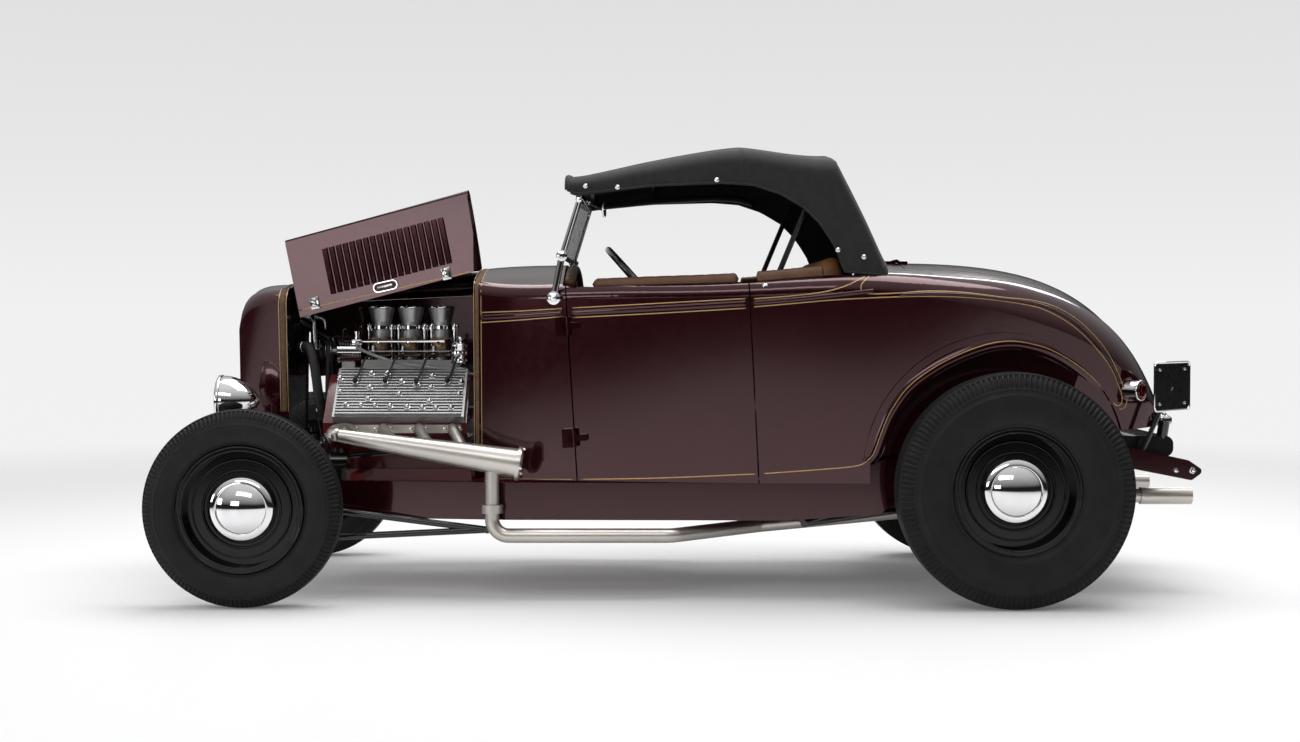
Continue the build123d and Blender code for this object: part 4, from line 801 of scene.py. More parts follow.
def top_outline(station, column, low):
    """(offset, height) of a column of the section. low is the hem's height there."""
    _, foot, half, shoulder, run, rise, crown = top_row(station)
    edge, ridge = half - run, shoulder + rise
    if column <= CROWN_COLUMNS:
        high = crown - ridge
        radius = (edge ** 2 + high ** 2) / (2 * high)
        angle = math.asin(edge / radius) * column / CROWN_COLUMNS
        return radius * math.sin(angle), crown - radius + radius * math.cos(angle)
    column -= CROWN_COLUMNS
    if column <= CORNER_COLUMNS:
        angle = math.pi / 2 * column / CORNER_COLUMNS
        return edge + run * math.sin(angle), shoulder + rise * math.cos(angle)
    share = (column - CORNER_COLUMNS) / SIDE_COLUMNS
    height = shoulder + (min(low, shoulder) - shoulder) * share
    return half + (foot - half) * (shoulder - height) / (shoulder - TOP_FOOT), height


def deck_height(station, offset):
    """How high the rear deck is there in millimetres, or None."""
    location = tree_of("rear_body").ray_cast(spot(station, offset, 2000), Vector((0, 0, -1)))[0]
    return location.z * 1000 if location and location.z * 1000 > DECK_LOW else None


def hem_height(station, offset):
    deck = deck_height(station, offset) if station > 2100 else None
    return deck + 2.5 if deck else span_at(HEM, station)


def back_end(column):
    """The station at which a column of the back meets the body."""
    station = TOP_TURN + 60
    while station < TOP_END:
        offset, height = top_outline(station, min(column, CROWN_COLUMNS + CORNER_COLUMNS), 0)
        deck = deck_height(station, offset)
        if deck and height < deck + 3:
            return station
        station += 1.5
    return TOP_END


def wrinkle(station, offset, height):
    """Small tension folds, in millimetres: out of the bows' ends and along the hem."""
    value = FOLD_RISE * field.noise(Vector((station * 0.006, offset * 0.009, height * 0.004)))
    fan = math.sin((station - 0.8 * (height - 1400)) * 0.034) * FAN_RISE
    return value + fan * min(max((1560 - height) / 120, 0), 1)


def top_points():
    """Rows of points over the right half of the top, from its middle to its hem, in millimetres."""
    columns = CROWN_COLUMNS + CORNER_COLUMNS + SIDE_COLUMNS
    ends = [back_end(column) for column in range(columns + 1)]
    grid = []
    for row in range(ROOF_ROWS + BACK_ROWS + 1):
        line = []
        for column, end in enumerate(ends):
            station = TOP_FRONT + (TOP_TURN - TOP_FRONT) * row / ROOF_ROWS
            if row > ROOF_ROWS:
                station = TOP_TURN + (end - TOP_TURN) * (row - ROOF_ROWS) / BACK_ROWS
            offset, height = top_outline(station, column, hem_height(station, 600))
            edge_fade = min(1, (station - TOP_FRONT) / 80, (end - station) / 60 + 0.1)
            fold = wrinkle(station, offset, height) * max(edge_fade, 0)
            lean = min(offset / 600, 1) ** 3
            line.append((station, offset + fold * lean, height + fold * (1 - lean)))
        grid.append(line)
    return grid


TOP_GRID = []
for line in top_points():
    left_part = [spot(s, -y, z) for s, y, z in reversed(line)]
    TOP_GRID.append(left_part + [spot(*p) for p in line[1:]])
LAST_ROW = len(TOP_GRID) - 1
LAST_COLUMN = len(TOP_GRID[0]) - 1
MIDDLE = LAST_COLUMN // 2
PEAK_ROW = round(ROOF_ROWS * (BOWS[1] - TOP_FRONT) / (TOP_TURN - TOP_FRONT))


def grid_normal(grid, i, j):
    along = grid[min(i + 1, len(grid) - 1)][j] - grid[max(i - 1, 0)][j]
    across = grid[i][min(j + 1, len(grid[0]) - 1)] - grid[i][max(j - 1, 0)]
    return along.cross(across).normalized()


def sheet_into(work, grid, thick):
    """A closed thin sheet from a grid of points."""
    upper = [[work.verts.new(p) for p in row] for row in grid]
    lower = []
    for i, row in enumerate(grid):
        lower.append([work.verts.new(p - grid_normal(grid, i, j) * thick) for j, p in enumerate(row)])
    shell_into(work, upper, lower)


def along_top(pairs, lift=0.0):
    """(point, normal) at places on the canvas, given as (row, column)."""
    found = []
    for i, j in pairs:
        normal = grid_normal(TOP_GRID, i, j)
        if normal.z < -0.2:
            normal = -normal
        found.append((TOP_GRID[i][j] + normal * lift, normal))
    return found


canopy = piece("soft_top_canvas", lambda work: sheet_into(work, TOP_GRID, CANVAS_THICK), CANVAS, sharp=50)
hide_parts("soft_top")

# Hem: its points, the radius of its piping
HEMS = {
    "left": ([row[0] for row in TOP_GRID], 0.0042),
    "right": ([row[-1] for row in TOP_GRID], 0.0042),
    "front": (TOP_GRID[0], 0.0085),
    "rear": (TOP_GRID[-1], 0.0042),
}
for name, (points, radius) in HEMS.items():
    lifted = [p + Vector((0, 0, 0.001)) for p in points[::2]]
    piece(f"soft_top_binding_{name}", lambda work: swept_into(work, lifted, radius, 8), CANVAS, sharp=None)


def top_column(column, start, end):
    return along_top([(i, column) for i in range(start, end)])


def top_line(row, margin):
    return along_top([(row, j) for j in range(margin, LAST_COLUMN + 1 - margin)])


# Seam: path, width, rise
SEAMS = {
    "seam_left": (top_column(MIDDLE - 15, 0, LAST_ROW + 1), 0.016, 0.0016),
    "seam_right": (top_column(MIDDLE + 15, 0, LAST_ROW + 1), 0.016, 0.0016),
    "bow_seam_peak": (top_line(PEAK_ROW, 6), 0.014, 0.0015),
    "bow_seam_turn": (top_line(ROOF_ROWS, 6), 0.014, 0.0015),
}
for name, (path, width, rise) in SEAMS.items():
    piece(f"soft_top_{name}", lambda work: ribbon_into(work, path, width, rise), CANVAS, sharp=None)
# Rod under the canvas: path, depth of its middle, radius, flatness
RODS = {
    "top_rail_left": (top_column(3, 1, PEAK_ROW + 8), 0.012, 0.012, 1.0),
    "top_rail_right": (top_column(LAST_COLUMN - 3, 1, PEAK_ROW + 8), 0.012, 0.012, 1.0),
}
for index, row in enumerate((4, PEAK_ROW // 2, PEAK_ROW, ROOF_ROWS - 1)):
    RODS[f"top_bow_{index + 1}"] = (top_line(row, 8), 0.013, 0.011, 0.6)
for name, (path, depth, radius, flat) in RODS.items():
    middle = [p - n * depth for p, n in path]
    piece(name, lambda work: swept_into(work, middle, radius, 8, flat), DARK, sharp=None)

# Rear window in the canvas, an opaque dark pane whose darkness is painted shade of the cabin behind it, bound
# with the same cloth
pane = []
for i in range(ROOF_ROWS + 8, ROOF_ROWS + 22):
    pane.append([p for p, n in along_top([(i, j) for j in range(MIDDLE - 11, MIDDLE + 12)], 0.0022)])
edge = rim_of(pane) + pane[0][:1]
piece("rear_window_pane", lambda work: sheet_into(work, pane, 0.0015), PANE_PAINTED_SHADE, sharp=None)
piece("rear_window_binding", lambda work: swept_into(work, edge, 0.006, 8, 0.6), CANVAS, sharp=None)

# Seat: a pleated bench of two pads

PLEAT = 0.062
PLEAT_DEPTH = 0.010
SEAT_HALF = 0.492
SEAT_CORNER = 0.055
# Pad: closed (station, height) profile, the way that its pleats face
PADS = {
    "back": ([
        (1894, 668), (1925, 810), (1962, 950), (1998, 1090), (2022, 1180), (2050, 1220), (2088, 1230),
        (2112, 1208), (2120, 1120), (2130, 930), (2138, 760), (2132, 672), (2060, 652), (1960, 650),
    ], (-0.8, 0.6)),
    "base": ([
        (1548, 500), (1542, 600), (1548, 672), (1572, 704), (1640, 712), (1740, 698), (1830, 682),
        (1884, 668), (1892, 600), (1890, 500), (1800, 470), (1650, 470),
    ], (-0.35, 0.94)),
}


def pad_into(work, profile, pleats_face):
    """A bench pad: its profile carried across the car, its ends rounded in."""
    steps = 150
    count = len(profile)
    centre = Vector((sum(p[0] for p in profile), sum(p[1] for p in profile))) / count / 1000
    smooth = [Vector((p.x, p.y)) / 1000 for p in pixel_curve(profile + profile[:1], 72)[:-1]]
    rings = []
    for index in range(steps + 1):
        y = SEAT_HALF * (2 * index / steps - 1)
        over = max(abs(y) - (SEAT_HALF - SEAT_CORNER), 0) / SEAT_CORNER
        tuck = SEAT_CORNER * (1 - math.sqrt(max(1 - over ** 2, 0.0004))) * 0.85
        groove = abs((y / PLEAT) % 1 - 0.5) * 2
        channel = PLEAT_DEPTH * (1 - min((1 - abs(1 - groove)) / 0.34, 1)) ** 2
        ring = []
        for p in smooth:
            facing = (p - centre).normalized()
            share = max(facing.dot(Vector(pleats_face)), 0)
            shrink = tuck + channel * min(share * 2.2, 1) * (1 - over)
            at = centre + facing * max((p - centre).length - shrink, 0.004)
            ring.append(work.verts.new((FRONT_AXLE + at.x, y, at.y)))
        rings.append(ring)
    skin(work, rings, caps=True)


for label, (profile, facing) in PADS.items():
    pad = piece(f"seat_{label}", lambda work: pad_into(work, profile, facing), SADDLE, sharp=70)
    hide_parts("seat")

# Engine. Turned profiles hold (radius, height) in millimetres

UP = (0, 0, 1)
ACORN = [(12, -8), (12, 2), (9.6, 3), (9.6, 9), (8.4, 12.5), (5.8, 15.5), (2.6, 17), (0, 17.4)]
PLUG = [(15, -6), (15, 2), (11.5, 2.5), (11.5, 11), (8, 12), (8, 15)]
INSULATOR = [(7, 12), (7.4, 14), (6.4, 17)]
NUT_PIXELS = [
    (340.2, 378.7), (371.7, 373.8), (387.5, 373.8), (401.6, 381.8), (432.3, 376.8), (461.4, 382.3),
    (369.8, 387.7), (431.1, 387.9), (340.2, 392.5), (399.1, 394.9), (459, 394.9), (368.1, 399.3),
    (429.4, 401.7), (345.6, 405.4), (360.8, 406.1), (374.7, 406.1), (389.9, 406.6), (406.9, 407.3),
    (422.2, 407.8), (436, 408.5), (451, 407.8),
]
PLUG_PIXELS = [(355.5, 384), (385.6, 384), (416.6, 385), (447.6, 384)]
HEAD_OUT = Vector((0, -1, 1)).normalized()
LEAD_POINTS = 30
BOOT_POINTS = 12


def head_spots(pixels):
    hits = [seen_at(px, py, "cylinder_heads") for px, py in pixels]
    return [hit[0] for hit in hits if hit]


def head_studs(name, pixels, profile, segments, material):
    """The same stud at each place on the left head, and its mirror image on the right one."""
    seats = head_spots(pixels)

    def fill(work, sign):
        for seat in seats:
            turned_into(work, profile, on_side(seat, sign), on_side(HEAD_OUT, sign), segments)

    pair(name, fill, material)


def plug_leads(work, sign):
    for seat in head_spots(PLUG_PIXELS):
        knee = seat + HEAD_OUT * 0.026
        path = [
            seat + HEAD_OUT * 0.013, knee, knee + Vector((0.012, 0.018, 0.018)),
            Vector((seat.x + 0.03, -0.185, 0.862)), Vector((seat.x + 0.05, -0.120, 0.872)),
        ]
        radii = [0.0078 if k < BOOT_POINTS else 0.0042 for k in range(LEAD_POINTS)]
        swept_into(work, curve_points([on_side(p, sign) for p in path], LEAD_POINTS), radii)


head_studs("head_nuts", NUT_PIXELS, ACORN, 12, CHROME)
head_studs("plug_bodies", PLUG_PIXELS, PLUG, 6, STEEL)
head_studs("plug_insulators", PLUG_PIXELS, INSULATOR, 14, CERAMIC)
pair("plug_leads", plug_leads, RUBBER)

CARBS = (386, 499, 617)
LINK_AT = (92, 884)
LINK_STATIONS = (350, 660)
BAND = [(38.5, -8), (42.5, -6), (42.5, 6), (38.5, 8)]
FLOAT_CAP = [(9, -4), (9, 7), (6, 8), (6, 20), (8, 21), (8, 27), (0, 28)]
SCREW = [(4.6, 0), (4.6, 3), (3, 4.4), (0, 5)]
BALL = [(7, -4), (7, 4), (4, 6), (0, 7)]
TOWER = [(9, 0), (9, 5), (4.4, 6), (4.4, 116), (8.6, 117), (8.6, 127), (7.4, 134), (4, 140), (0, 142)]
TOWERS = (342, 430, 457, 556, 583, 671)
BREATHER = [
    (11, 0), (11, 62), (20, 64), (35, 66), (37, 71), (35.5, 74), (35.5, 92), (36.5, 94), (35.5, 96),
    (35.5, 128), (37, 131), (37, 137), (33, 144), (20, 148), (8, 149), (8, 158), (10, 160), (10, 168),
    (0, 171),
]
FUEL_CAP = [(13, 0), (13, 8), (9, 9), (9, 20), (11, 21), (11, 30), (0, 34)]
FUEL_UNION = [(9, 0), (9, 9), (7, 10), (7, 22)]


def stack_lips(work):
    for station in CARBS:
        turned_into(work, circle(46.5, 0, 4.6), spot(station, 0, 1052), UP, 48, True)
        turned_into(work, BAND, spot(station, 0, 975), UP, 48, True)


def carburettors(work):
    for station in CARBS:
        for sign in SIDES.values():
            block_into(work, spot(station, sign * 56, 903), (0.058, 0.044, 0.050), 0.010)
            block_into(work, spot(station, sign * 58, 931), (0.064, 0.050, 0.009), 0.003)
            block_into(work, spot(station - 20, sign * 80, 893), (0.012, 0.010, 0.030), 0.003)
        block_into(work, spot(station, 0, 868), (0.084, 0.112, 0.012), 0.004)


def carburettor_fittings(work):
    for station in CARBS:
        for sign in SIDES.values():
            turned_into(work, FLOAT_CAP, spot(station, sign * 77, 910), (0, sign, 0), 6)
            for step in (-24, 24):
                turned_into(work, SCREW, spot(station + step, sign * 58, 935), UP, 10)


def linkage(work):
    offset, height = LINK_AT
    for sign in SIDES.values():
        swept_into(work, [spot(station, sign * offset, height) for station in LINK_STATIONS], 0.0042)
        for station in CARBS:
            block_into(work, spot(station - 20, sign * 89, 886), (0.010, 0.005, 0.040), 0.002)
            turned_into(work, BALL, spot(station - 20, sign * offset, height), (0, sign, 0), 12)


def towers(work):
    for station in TOWERS:
        for sign in SIDES.values():
            turned_into(work, TOWER, spot(station, sign * 44, 850), UP, 12)


def generator_ribs(work):
    profile = [(46, -46)]
    for start in range(-44, 46, 10):
        profile += [(47.4, start), (50.5, start + 1.5), (50.5, start + 4.5), (47.4, start + 6)]
    turned_into(work, profile + [(46, 47)], spot(264, 0, 884), (1, 0, 0), 48)


def fuel_rail(work):
    centre = spot(306, -104, 918)
    block_into(work, centre, (0.040, 0.030, 0.026), 0.005)
    turned_into(work, FUEL_CAP, centre + Vector((0, 0, 0.012)), UP, 16)
    turned_into(work, FUEL_UNION, centre + Vector((0.002, -0.012, -0.004)), (0.4, -0.8, -0.4), 6)
    rail = [centre + Vector((0.018, 0, 0)), spot(340, -106, 922), spot(640, -106, 922)]
    swept_into(work, curve_points(rail, 24), 0.0065)
    for station in CARBS:
        drop = [spot(station, -106, 922), spot(station, -112, 914), spot(station, -100, 910)]
        swept_into(work, curve_points(drop, 8), 0.005, 8)


BELT_STATION = 184
# Pulley: height of its middle, radius
CRANK_PULLEY = (520, 75)
GENERATOR_PULLEY = (884, 43)


def belt(work):
    (low, low_radius), (high, high_radius) = CRANK_PULLEY, GENERATOR_PULLEY
    lean = math.asin((low_radius - high_radius) / (high - low))
    path = []
    for middle, radius, start, turn in (
            (low, low_radius, -math.pi / 2 - lean, math.pi + 2 * lean),
            (high, high_radius, math.pi / 2 + lean, math.pi - 2 * lean)):
        for step in range(41):
            angle = start + turn * step / 40
            path.append(spot(BELT_STATION, radius * math.sin(angle), middle - radius * math.cos(angle)))
    swept_into(work, path + path[:1], 0.0085, 8, 0.6, (1, 0, 0))


ENGINE = (
    ("stack_lips", stack_lips, CHROME),
    ("carburettor_bowls", carburettors, BRONZE),
    ("carburettor_fittings", carburettor_fittings, BRASS),
    ("throttle_linkage", linkage, STEEL),
    ("manifold_towers", towers, CHROME),
    ("generator_ribs", generator_ribs, CHROME),
    ("oil_breather", lambda work: turned_into(work, BREATHER, spot(704, -128, 772), UP, 40), CHROME),
    ("fuel_rail", fuel_rail, CHROME),
    ("fan_belt", belt, RUBBER),
)
for name, fill, material in ENGINE:
    piece(name, fill, material)
tube("braided_line", [
    spot(312, -128, 908), pixel_at(358, 348, -0.165), pixel_at(375.4, 355.7, -0.19),
    pixel_at(399.6, 363, -0.2), pixel_at(436, 367.8, -0.2), pixel_at(460, 370, -0.2),
    pixel_at(470, 373.5, -0.19), spot(770, -170, 800),
], 0.0058, BRAID, 60, 12)

CLAMP = [(18.2, -6), (20.5, -5), (20.5, 5), (18.2, 6)]
CLAMPS = {"upper": ((112, -160, 904), (0.8, -0.55, -0.1)), "lower": ((204, -146, 636), (0.6, 0.7, -0.4))}
# Pipe: points on the left, radius, material, points and segments of its mesh
PIPES = {
    "water_hose": ([
        (98, -150, 905), (138, -176, 898), (160, -186, 820),
        (176, -180, 700), (200, -150, 640), (222, -120, 620),
    ], 0.0185, RUBBER, 60, 16),
    "vent_pipe": ([
        (152, -128, 892), (146, -124, 960), (140, -118, 1005), (104, -110, 1018),
    ], 0.009, STEEL, 30, 12),
    "header_elbow": ([
        (302, -545, 593), (284, -520, 597), (281, -470, 601), (288, -410, 603), (306, -352, 603),
    ], 0.0238, NICKEL, 40, 20),
}
for side, sign in SIDES.items():
    for name, (points, radius, material, count, segments) in PIPES.items():
        tube(f"{name}_{side}", [on_side(spot(*p), sign) for p in points], radius, material, count, segments)
for label, (where, along) in CLAMPS.items():
    pair(f"hose_clamp_{label}", lambda work, sign: turned_into(
        work, CLAMP, on_side(spot(*where), sign), on_side(along, sign), 28, True), STEEL, sharp=None)

PORTS = (315, 440, 570, 695)
PORT_BOLT = [(9, -1), (9, 1.5), (7, 2), (7, 8), (4, 8.5), (4, 12), (0, 13)]
CONE = (spot(308, -545, 592), spot(946, -545, 492))
CONE_RING = [(47.5, 0), (47.5, 3.5), (53.5, 6), (59.5, 3.5), (59.5, 0)]
CONE_BOLT = [(6, 2), (6, 8), (3.4, 9), (3.4, 12), (0, 12.5)]
# A near-black disc across the cone's open mouth: painted shade of the pipe's inside
CONE_SHADE_DISC = [(47.5, 0), (47.5, 1.4), (24, 0.9), (0, 0.6)]


def header_bolts(work, sign):
    for port in PORTS:
        for step in (-27, 27):
            turned_into(work, PORT_BOLT, on_side(spot(port + step, -349, 603), sign), (0, sign, 0), 6)


def cone_end(sign):
    """The cone's mouth and the way that it faces."""
    start, end = (on_side(p, sign) for p in CONE)
    along = (end - start).normalized()
    return end + along * 0.010, along


def cone_ring(work, sign):
    tip, along = cone_end(sign)
    turned_into(work, CONE_RING, tip, along, 48, True)
    for turn in range(3):
        out = Matrix.Rotation(turn * 2 * math.pi / 3 + 0.5, 3, along) @ along.orthogonal().normalized()
        turned_into(work, CONE_BOLT, tip + out * 0.0535, along, 6)


pair("header_bolts", header_bolts, STEEL)
pair("cone_ring", cone_ring, NICKEL)
pair("cone_throat_painted_shade", lambda work, sign: turned_into(work, CONE_SHADE_DISC, *cone_end(sign), 40), DARK)

# Hood hardware

HOOD_CORNERS = [Vector(p) for p in ((289.4, 238.2), (472.3, 194), (483.2, 270.9), (288.9, 314.5))]
HOOD = "hood_{side}_side"


def hood_spot(side, u, v):
    """A point and normal on a hood side. u runs rearward along it and v runs down it, each from 0 to 1."""
    if side == "left":
        a, b, c, d = HOOD_CORNERS
        pixel = a.lerp(b, u).lerp(d.lerp(c, u), v)
        return seen_at(pixel.x, pixel.y, "hood_left_side")
    start = spot(68 + 707 * u, 2000, 1060 + 35 * u - 282 * v)
    location, normal, _, _ = tree_of("hood_right_side").ray_cast(start, Vector((0, -1, 0)))
    return (location, normal if normal.y > 0 else -normal) if location else None


def framed(side, u, v):
    """A matrix at a place on a hood side: x along the hood, y up its face, z out of it."""
    here, there = hood_spot(side, u, v), hood_spot(side, u + 0.04, v)
    out = here[1].normalized()
    up = out.cross((there[0] - here[0]).normalized()).normalized()
    if up.z < 0:
        up = -up
    return Matrix.Translation(here[0]) @ Matrix((up.cross(out), up, out)).transposed().to_4x4()


def oval_into(work, place_at, length, height, section):
    """An oval rim, its cross-section a loop of (inset, rise), laid on a face."""
    steps = 56
    straight = (length - height) / 2
    rows = []
    for step in range(steps):
        angle = 2 * math.pi * step / steps
        shift = straight if math.cos(angle) > 0 else -straight
        row = []
        for inset, rise in section:
            reach = height / 2 - inset
            at = Vector((shift + reach * math.cos(angle), reach * math.sin(angle), rise))
            row.append(work.verts.new(place_at @ at))
        rows.append(row)
    skin(work, rows, True)


RIM_SECTION = [(0, -0.001), (0, 0.003), (0.002, 0.006), (0.005, 0.006), (0.007, 0.003), (0.007, -0.001)]
WELL_SECTION = [(0, -0.0008), (0, 0.0012), (0.0145, 0.0008), (0.0145, -0.0008)]
HANDLE_AT = (0.5, 0.915)
HANDLE_STUD = [(6, -1), (6, 6), (4.5, 12), (0, 13)]
LATCHES_AT = ((0.135, 0.93), (0.815, 0.93))
LATCH_STUD = [(5, 0), (5, 18), (8, 19), (8, 25), (0, 27)]


def fitting_into(work, here, blocks, stud, rise):
    """Blocks of (height up the face, rise, size, bevel) and a stud, at a place on a hood side."""
    turn = here.to_3x3().to_4x4()
    for up, out, size, bevel in blocks:
        block_into(work, here @ Vector((0, up, out)), size, bevel, turn)
    turned_into(work, stud, here @ Vector((0, rise, 0)), turn.to_3x3() @ Vector(UP), 14)


def hood_handle(work, side):
    here = framed(side, *HANDLE_AT)
    oval_into(work, here, 0.098, 0.040, RIM_SECTION)
    fitting_into(work, here, [(0, 0.008, (0.060, 0.009, 0.010), 0.004)], HANDLE_STUD, 0)


def hood_latches(work, side):
    for u, v in LATCHES_AT:
        fitting_into(work, framed(side, u, v), [
            (0, 0.003, (0.034, 0.046, 0.006), 0.002), (0.003, 0.010, (0.018, 0.034, 0.010), 0.004),
        ], LATCH_STUD, 0.010)


HOOD_BEAD_ROW = 0.978


def hood_bead(work, side):
    path = [hood_spot(side, 0.03 + 0.93 * k / 40, HOOD_BEAD_ROW) for k in range(41)]
    ribbon_into(work, [hit for hit in path if hit], 0.0045, 0.0012)


# Louvre mouths: a near-black strip of painted shade behind each pressed louvre, where its opening lies in
# shade. Rows and spans run down the hood side
LOUVRE_ROWS = (0.36, 0.55)
LOUVRE_SPAN = {"left": (0.235, 0.785), "right": (0.19, 0.80)}
LOUVRE_MARGIN = 0.06
LOUVRE_START, LOUVRE_RUN, LOUVRE_STEPS = 0.02, 0.95, 1400
# How far a louvre stands off the panel, and its slit's place along the hood, width and rise
PRESSED = 0.003
SLIT_AT = 0.0025
SLIT_WIDTH, SLIT_RISE = 0.0034, 0.0014


def louvre_mouths(side, row):
    """Where each louvre ends along a row of a hood side."""
    start, end = (hood_spot(side, u, row) for u in (LOUVRE_START, LOUVRE_START + LOUVRE_RUN))
    along = (end[0] - start[0]).normalized()
    out = (start[1] - along * start[1].dot(along)).normalized()
    mouths = []
    before = False
    for step in range(LOUVRE_STEPS + 1):
        u = LOUVRE_START + LOUVRE_RUN * step / LOUVRE_STEPS
        hit = hood_spot(side, u, row)
        now = hit is not None and (hit[0] - start[0]).dot(out) > PRESSED
        if before and not now:
            mouths.append(u)
        before = now
    return mouths


def louvre_shade_strips(work, side):
    first_row, second_row = LOUVRE_ROWS
    top, low = LOUVRE_SPAN[side]
    ends_v = (top - LOUVRE_MARGIN, low + LOUVRE_MARGIN)
    share = LOUVRE_MARGIN / (ends_v[1] - ends_v[0])
    for first, second in zip(louvre_mouths(side, first_row), louvre_mouths(side, second_row)):
        lean = (second - first) / (second_row - first_row)
        above, below = (hood_spot(side, first + lean * (v - first_row) + SLIT_AT, v) for v in ends_v)
        path = [(above[0].lerp(below[0], share + (1 - 2 * share) * k / 12), above[1]) for k in range(13)]
        ribbon_into(work, path, SLIT_WIDTH, SLIT_RISE)


def handle_well(work, side):
    oval_into(work, framed(side, *HANDLE_AT), 0.088, 0.030, WELL_SECTION)


for side in SIDES:
    for name, fill, material, sharp in (
            ("hood_handle", hood_handle, CHROME, 35), ("hood_handle_well", handle_well, PAINT, None),
            ("hood_latches", hood_latches, CHROME, 35), ("hood_bead", hood_bead, GOLD, None),
            ("louvre_mouths", louvre_shade_strips, LOUVRE_SHADE, None)):
        piece(f"{name}_{side}", lambda work: fill(work, side), material, HOOD.format(side=side), sharp)

# Lamps, plate and tail hardware

HEADLAMP_RIM = [(81, -6), (89.5, -6), (93.5, 0), (92.5, 8), (87, 11.5), (81, 9)]
TAIL_RIM = [(30, -3), (37.5, -3), (38.5, 2), (35, 6), (30, 5)]
TAIL_LENS = [(30, 3), (29, 7), (24, 11), (16, 13.5), (8, 14.6), (0, 15)]


def tail_face(sign):
    """The front of a tail lamp and the way that it faces."""
    out = Vector((1, sign, 0)).normalized()
    return on_side(spot(3172, -470, 750), sign) + out * 0.030, out


pair("headlamp_rim", lambda work, sign: turned_into(
    work, HEADLAMP_RIM, on_side(spot(-134, -430, 712), sign), (-1, 0, 0), 64, True), CHROME, sharp=None)
for name, profile, segments, closed, material in (
        ("tail_lamp_rim", TAIL_RIM, 48, True, CHROME), ("tail_lens", TAIL_LENS, 40, False, RED_LENS)):
    pair(name, lambda work, sign: turned_into(
        work, profile, *tail_face(sign), segments, closed), material, sharp=None)

PLATE_AT = Matrix.Translation(spot(3310, -470, 765)) @ Matrix.Rotation(math.radians(-45), 4, "Z")
PLATE_HALF = (0.122, 0.087)
PLATE_CORNER = 0.014
PLATE_BOLT = [(6, 0), (6, 1.5), (4.4, 2), (4.4, 5), (0, 6)]
FILLER_CAP = [
    (21, -14), (24, -12), (30, -8), (30, 10), (28, 15), (20, 19), (9, 21), (9, 25), (7, 28), (0, 29),
]
HORN_BOLT = [(13, -3), (13, 2.5), (10, 3), (10, 9), (7, 13), (0, 15)]


def plate_frame(work):
    wide, high = (half - PLATE_CORNER for half in PLATE_HALF)
    loop = []
    for cy, cz, start in ((1, 1, 0), (-1, 1, 90), (-1, -1, 180), (1, -1, 270)):
        for step in range(6):
            angle = math.radians(start + 90 * step / 5)
            y = cy * wide + PLATE_CORNER * math.cos(angle)
            z = cz * high + PLATE_CORNER * math.sin(angle)
            loop.append(PLATE_AT @ Vector((0.0035, y, z)))
        base = PLATE_AT @ Vector((0.003, cy * 0.088, cz * 0.062))
        turned_into(work, PLATE_BOLT, base, PLATE_AT.to_3x3() @ Vector((1, 0, 0)), 6)
    swept_into(work, loop + loop[:1], 0.0042, 8)


def filler_cap(work):
    low, high = spot(3297, -377, 572), spot(3305, -385, 637)
    turned_into(work, FILLER_CAP, high, high - low, 36)


def horn_bolts(work):
    for station in (3385, 3322):
        for sign in SIDES.values():
            turned_into(work, HORN_BOLT, spot(station, sign * 484, 462), (0, sign, 0), 6)


piece("plate_frame", plate_frame, CHROME)
piece("tank_filler_cap", filler_cap, CHROME)
piece("horn_bolts", horn_bolts, CHROME)

# Cockpit: padded rails, dash roll, gauges, mirror and windshield knobs

BODY_SIDE = [(1054, 490), (1450, 572), (1800, 622), (2200, 638)]
RAIL_INSET = 38
RAIL_POINTS = 60
# Rail: stations and heights along it, body, radius
RAILS = {
    "door_rail": ([(1216, 1133), (1400, 1140), (1600, 1146), (1738, 1152)], DOOR, 0.017),
    "quarter_rail": ([(1800, 1156), (1880, 1162), (1960, 1170), (2040, 1178)], "chassis", 0.018),
}


def rail_into(work, places, radius, sign):
    """A padded roll along the inside of the cockpit's rim."""
    controls = [spot(s, sign * (span_at(BODY_SIDE, s) - RAIL_INSET), z) for s, z in places]
    radii = []
    for index in range(RAIL_POINTS):
        t = index / (RAIL_POINTS - 1)
        ends = min(1, math.sqrt(max(min(t, 1 - t), 0.0005) / 0.03))
        pleat = 1 - 0.045 * (0.5 + 0.5 * math.cos(index * 2 * math.pi / 6)) ** 6
        radii.append(radius * ends * pleat)
    swept_into(work, curve_points(controls, RAIL_POINTS), radii, 20, 1.25, (0, 1, 0))


for name, (places, body, radius) in RAILS.items():
    for pad in pair(name, lambda work, sign: rail_into(work, places, radius, sign), LEATHER_PAINTED_SHADE, body, 60):
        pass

# Dash roll: station, half width, height at its middle, drop to its ends
DASH_STATION, DASH_HALF, DASH_HEIGHT, DASH_DROP = 1131, 430, 1196, 62
dash_path = []
for index in range(41):
    across = index / 20 - 1
    dash_path.append(spot(DASH_STATION, DASH_HALF * across, DASH_HEIGHT - DASH_DROP * across ** 2))
dash_roll = piece("dash_roll", lambda work: swept_into(work, dash_path, 0.021, 20), LEATHER_PAINTED_SHADE, sharp=None)

GAUGE_STATION, GAUGE_HEIGHT = 1122, 1100
# Gauge: offset, radius
GAUGES = ((-300, 46), (-190, 34), (-80, 34), (30, 34))
AFT = (1, 0, 0)


def gauge_rims(work):
    for y, r in GAUGES:
        ring = [(r - 5, 0), (r, 0), (r + 1, 5), (r - 1, 9), (r - 5, 7)]
        turned_into(work, ring, spot(GAUGE_STATION, y, GAUGE_HEIGHT), AFT, 40, True)


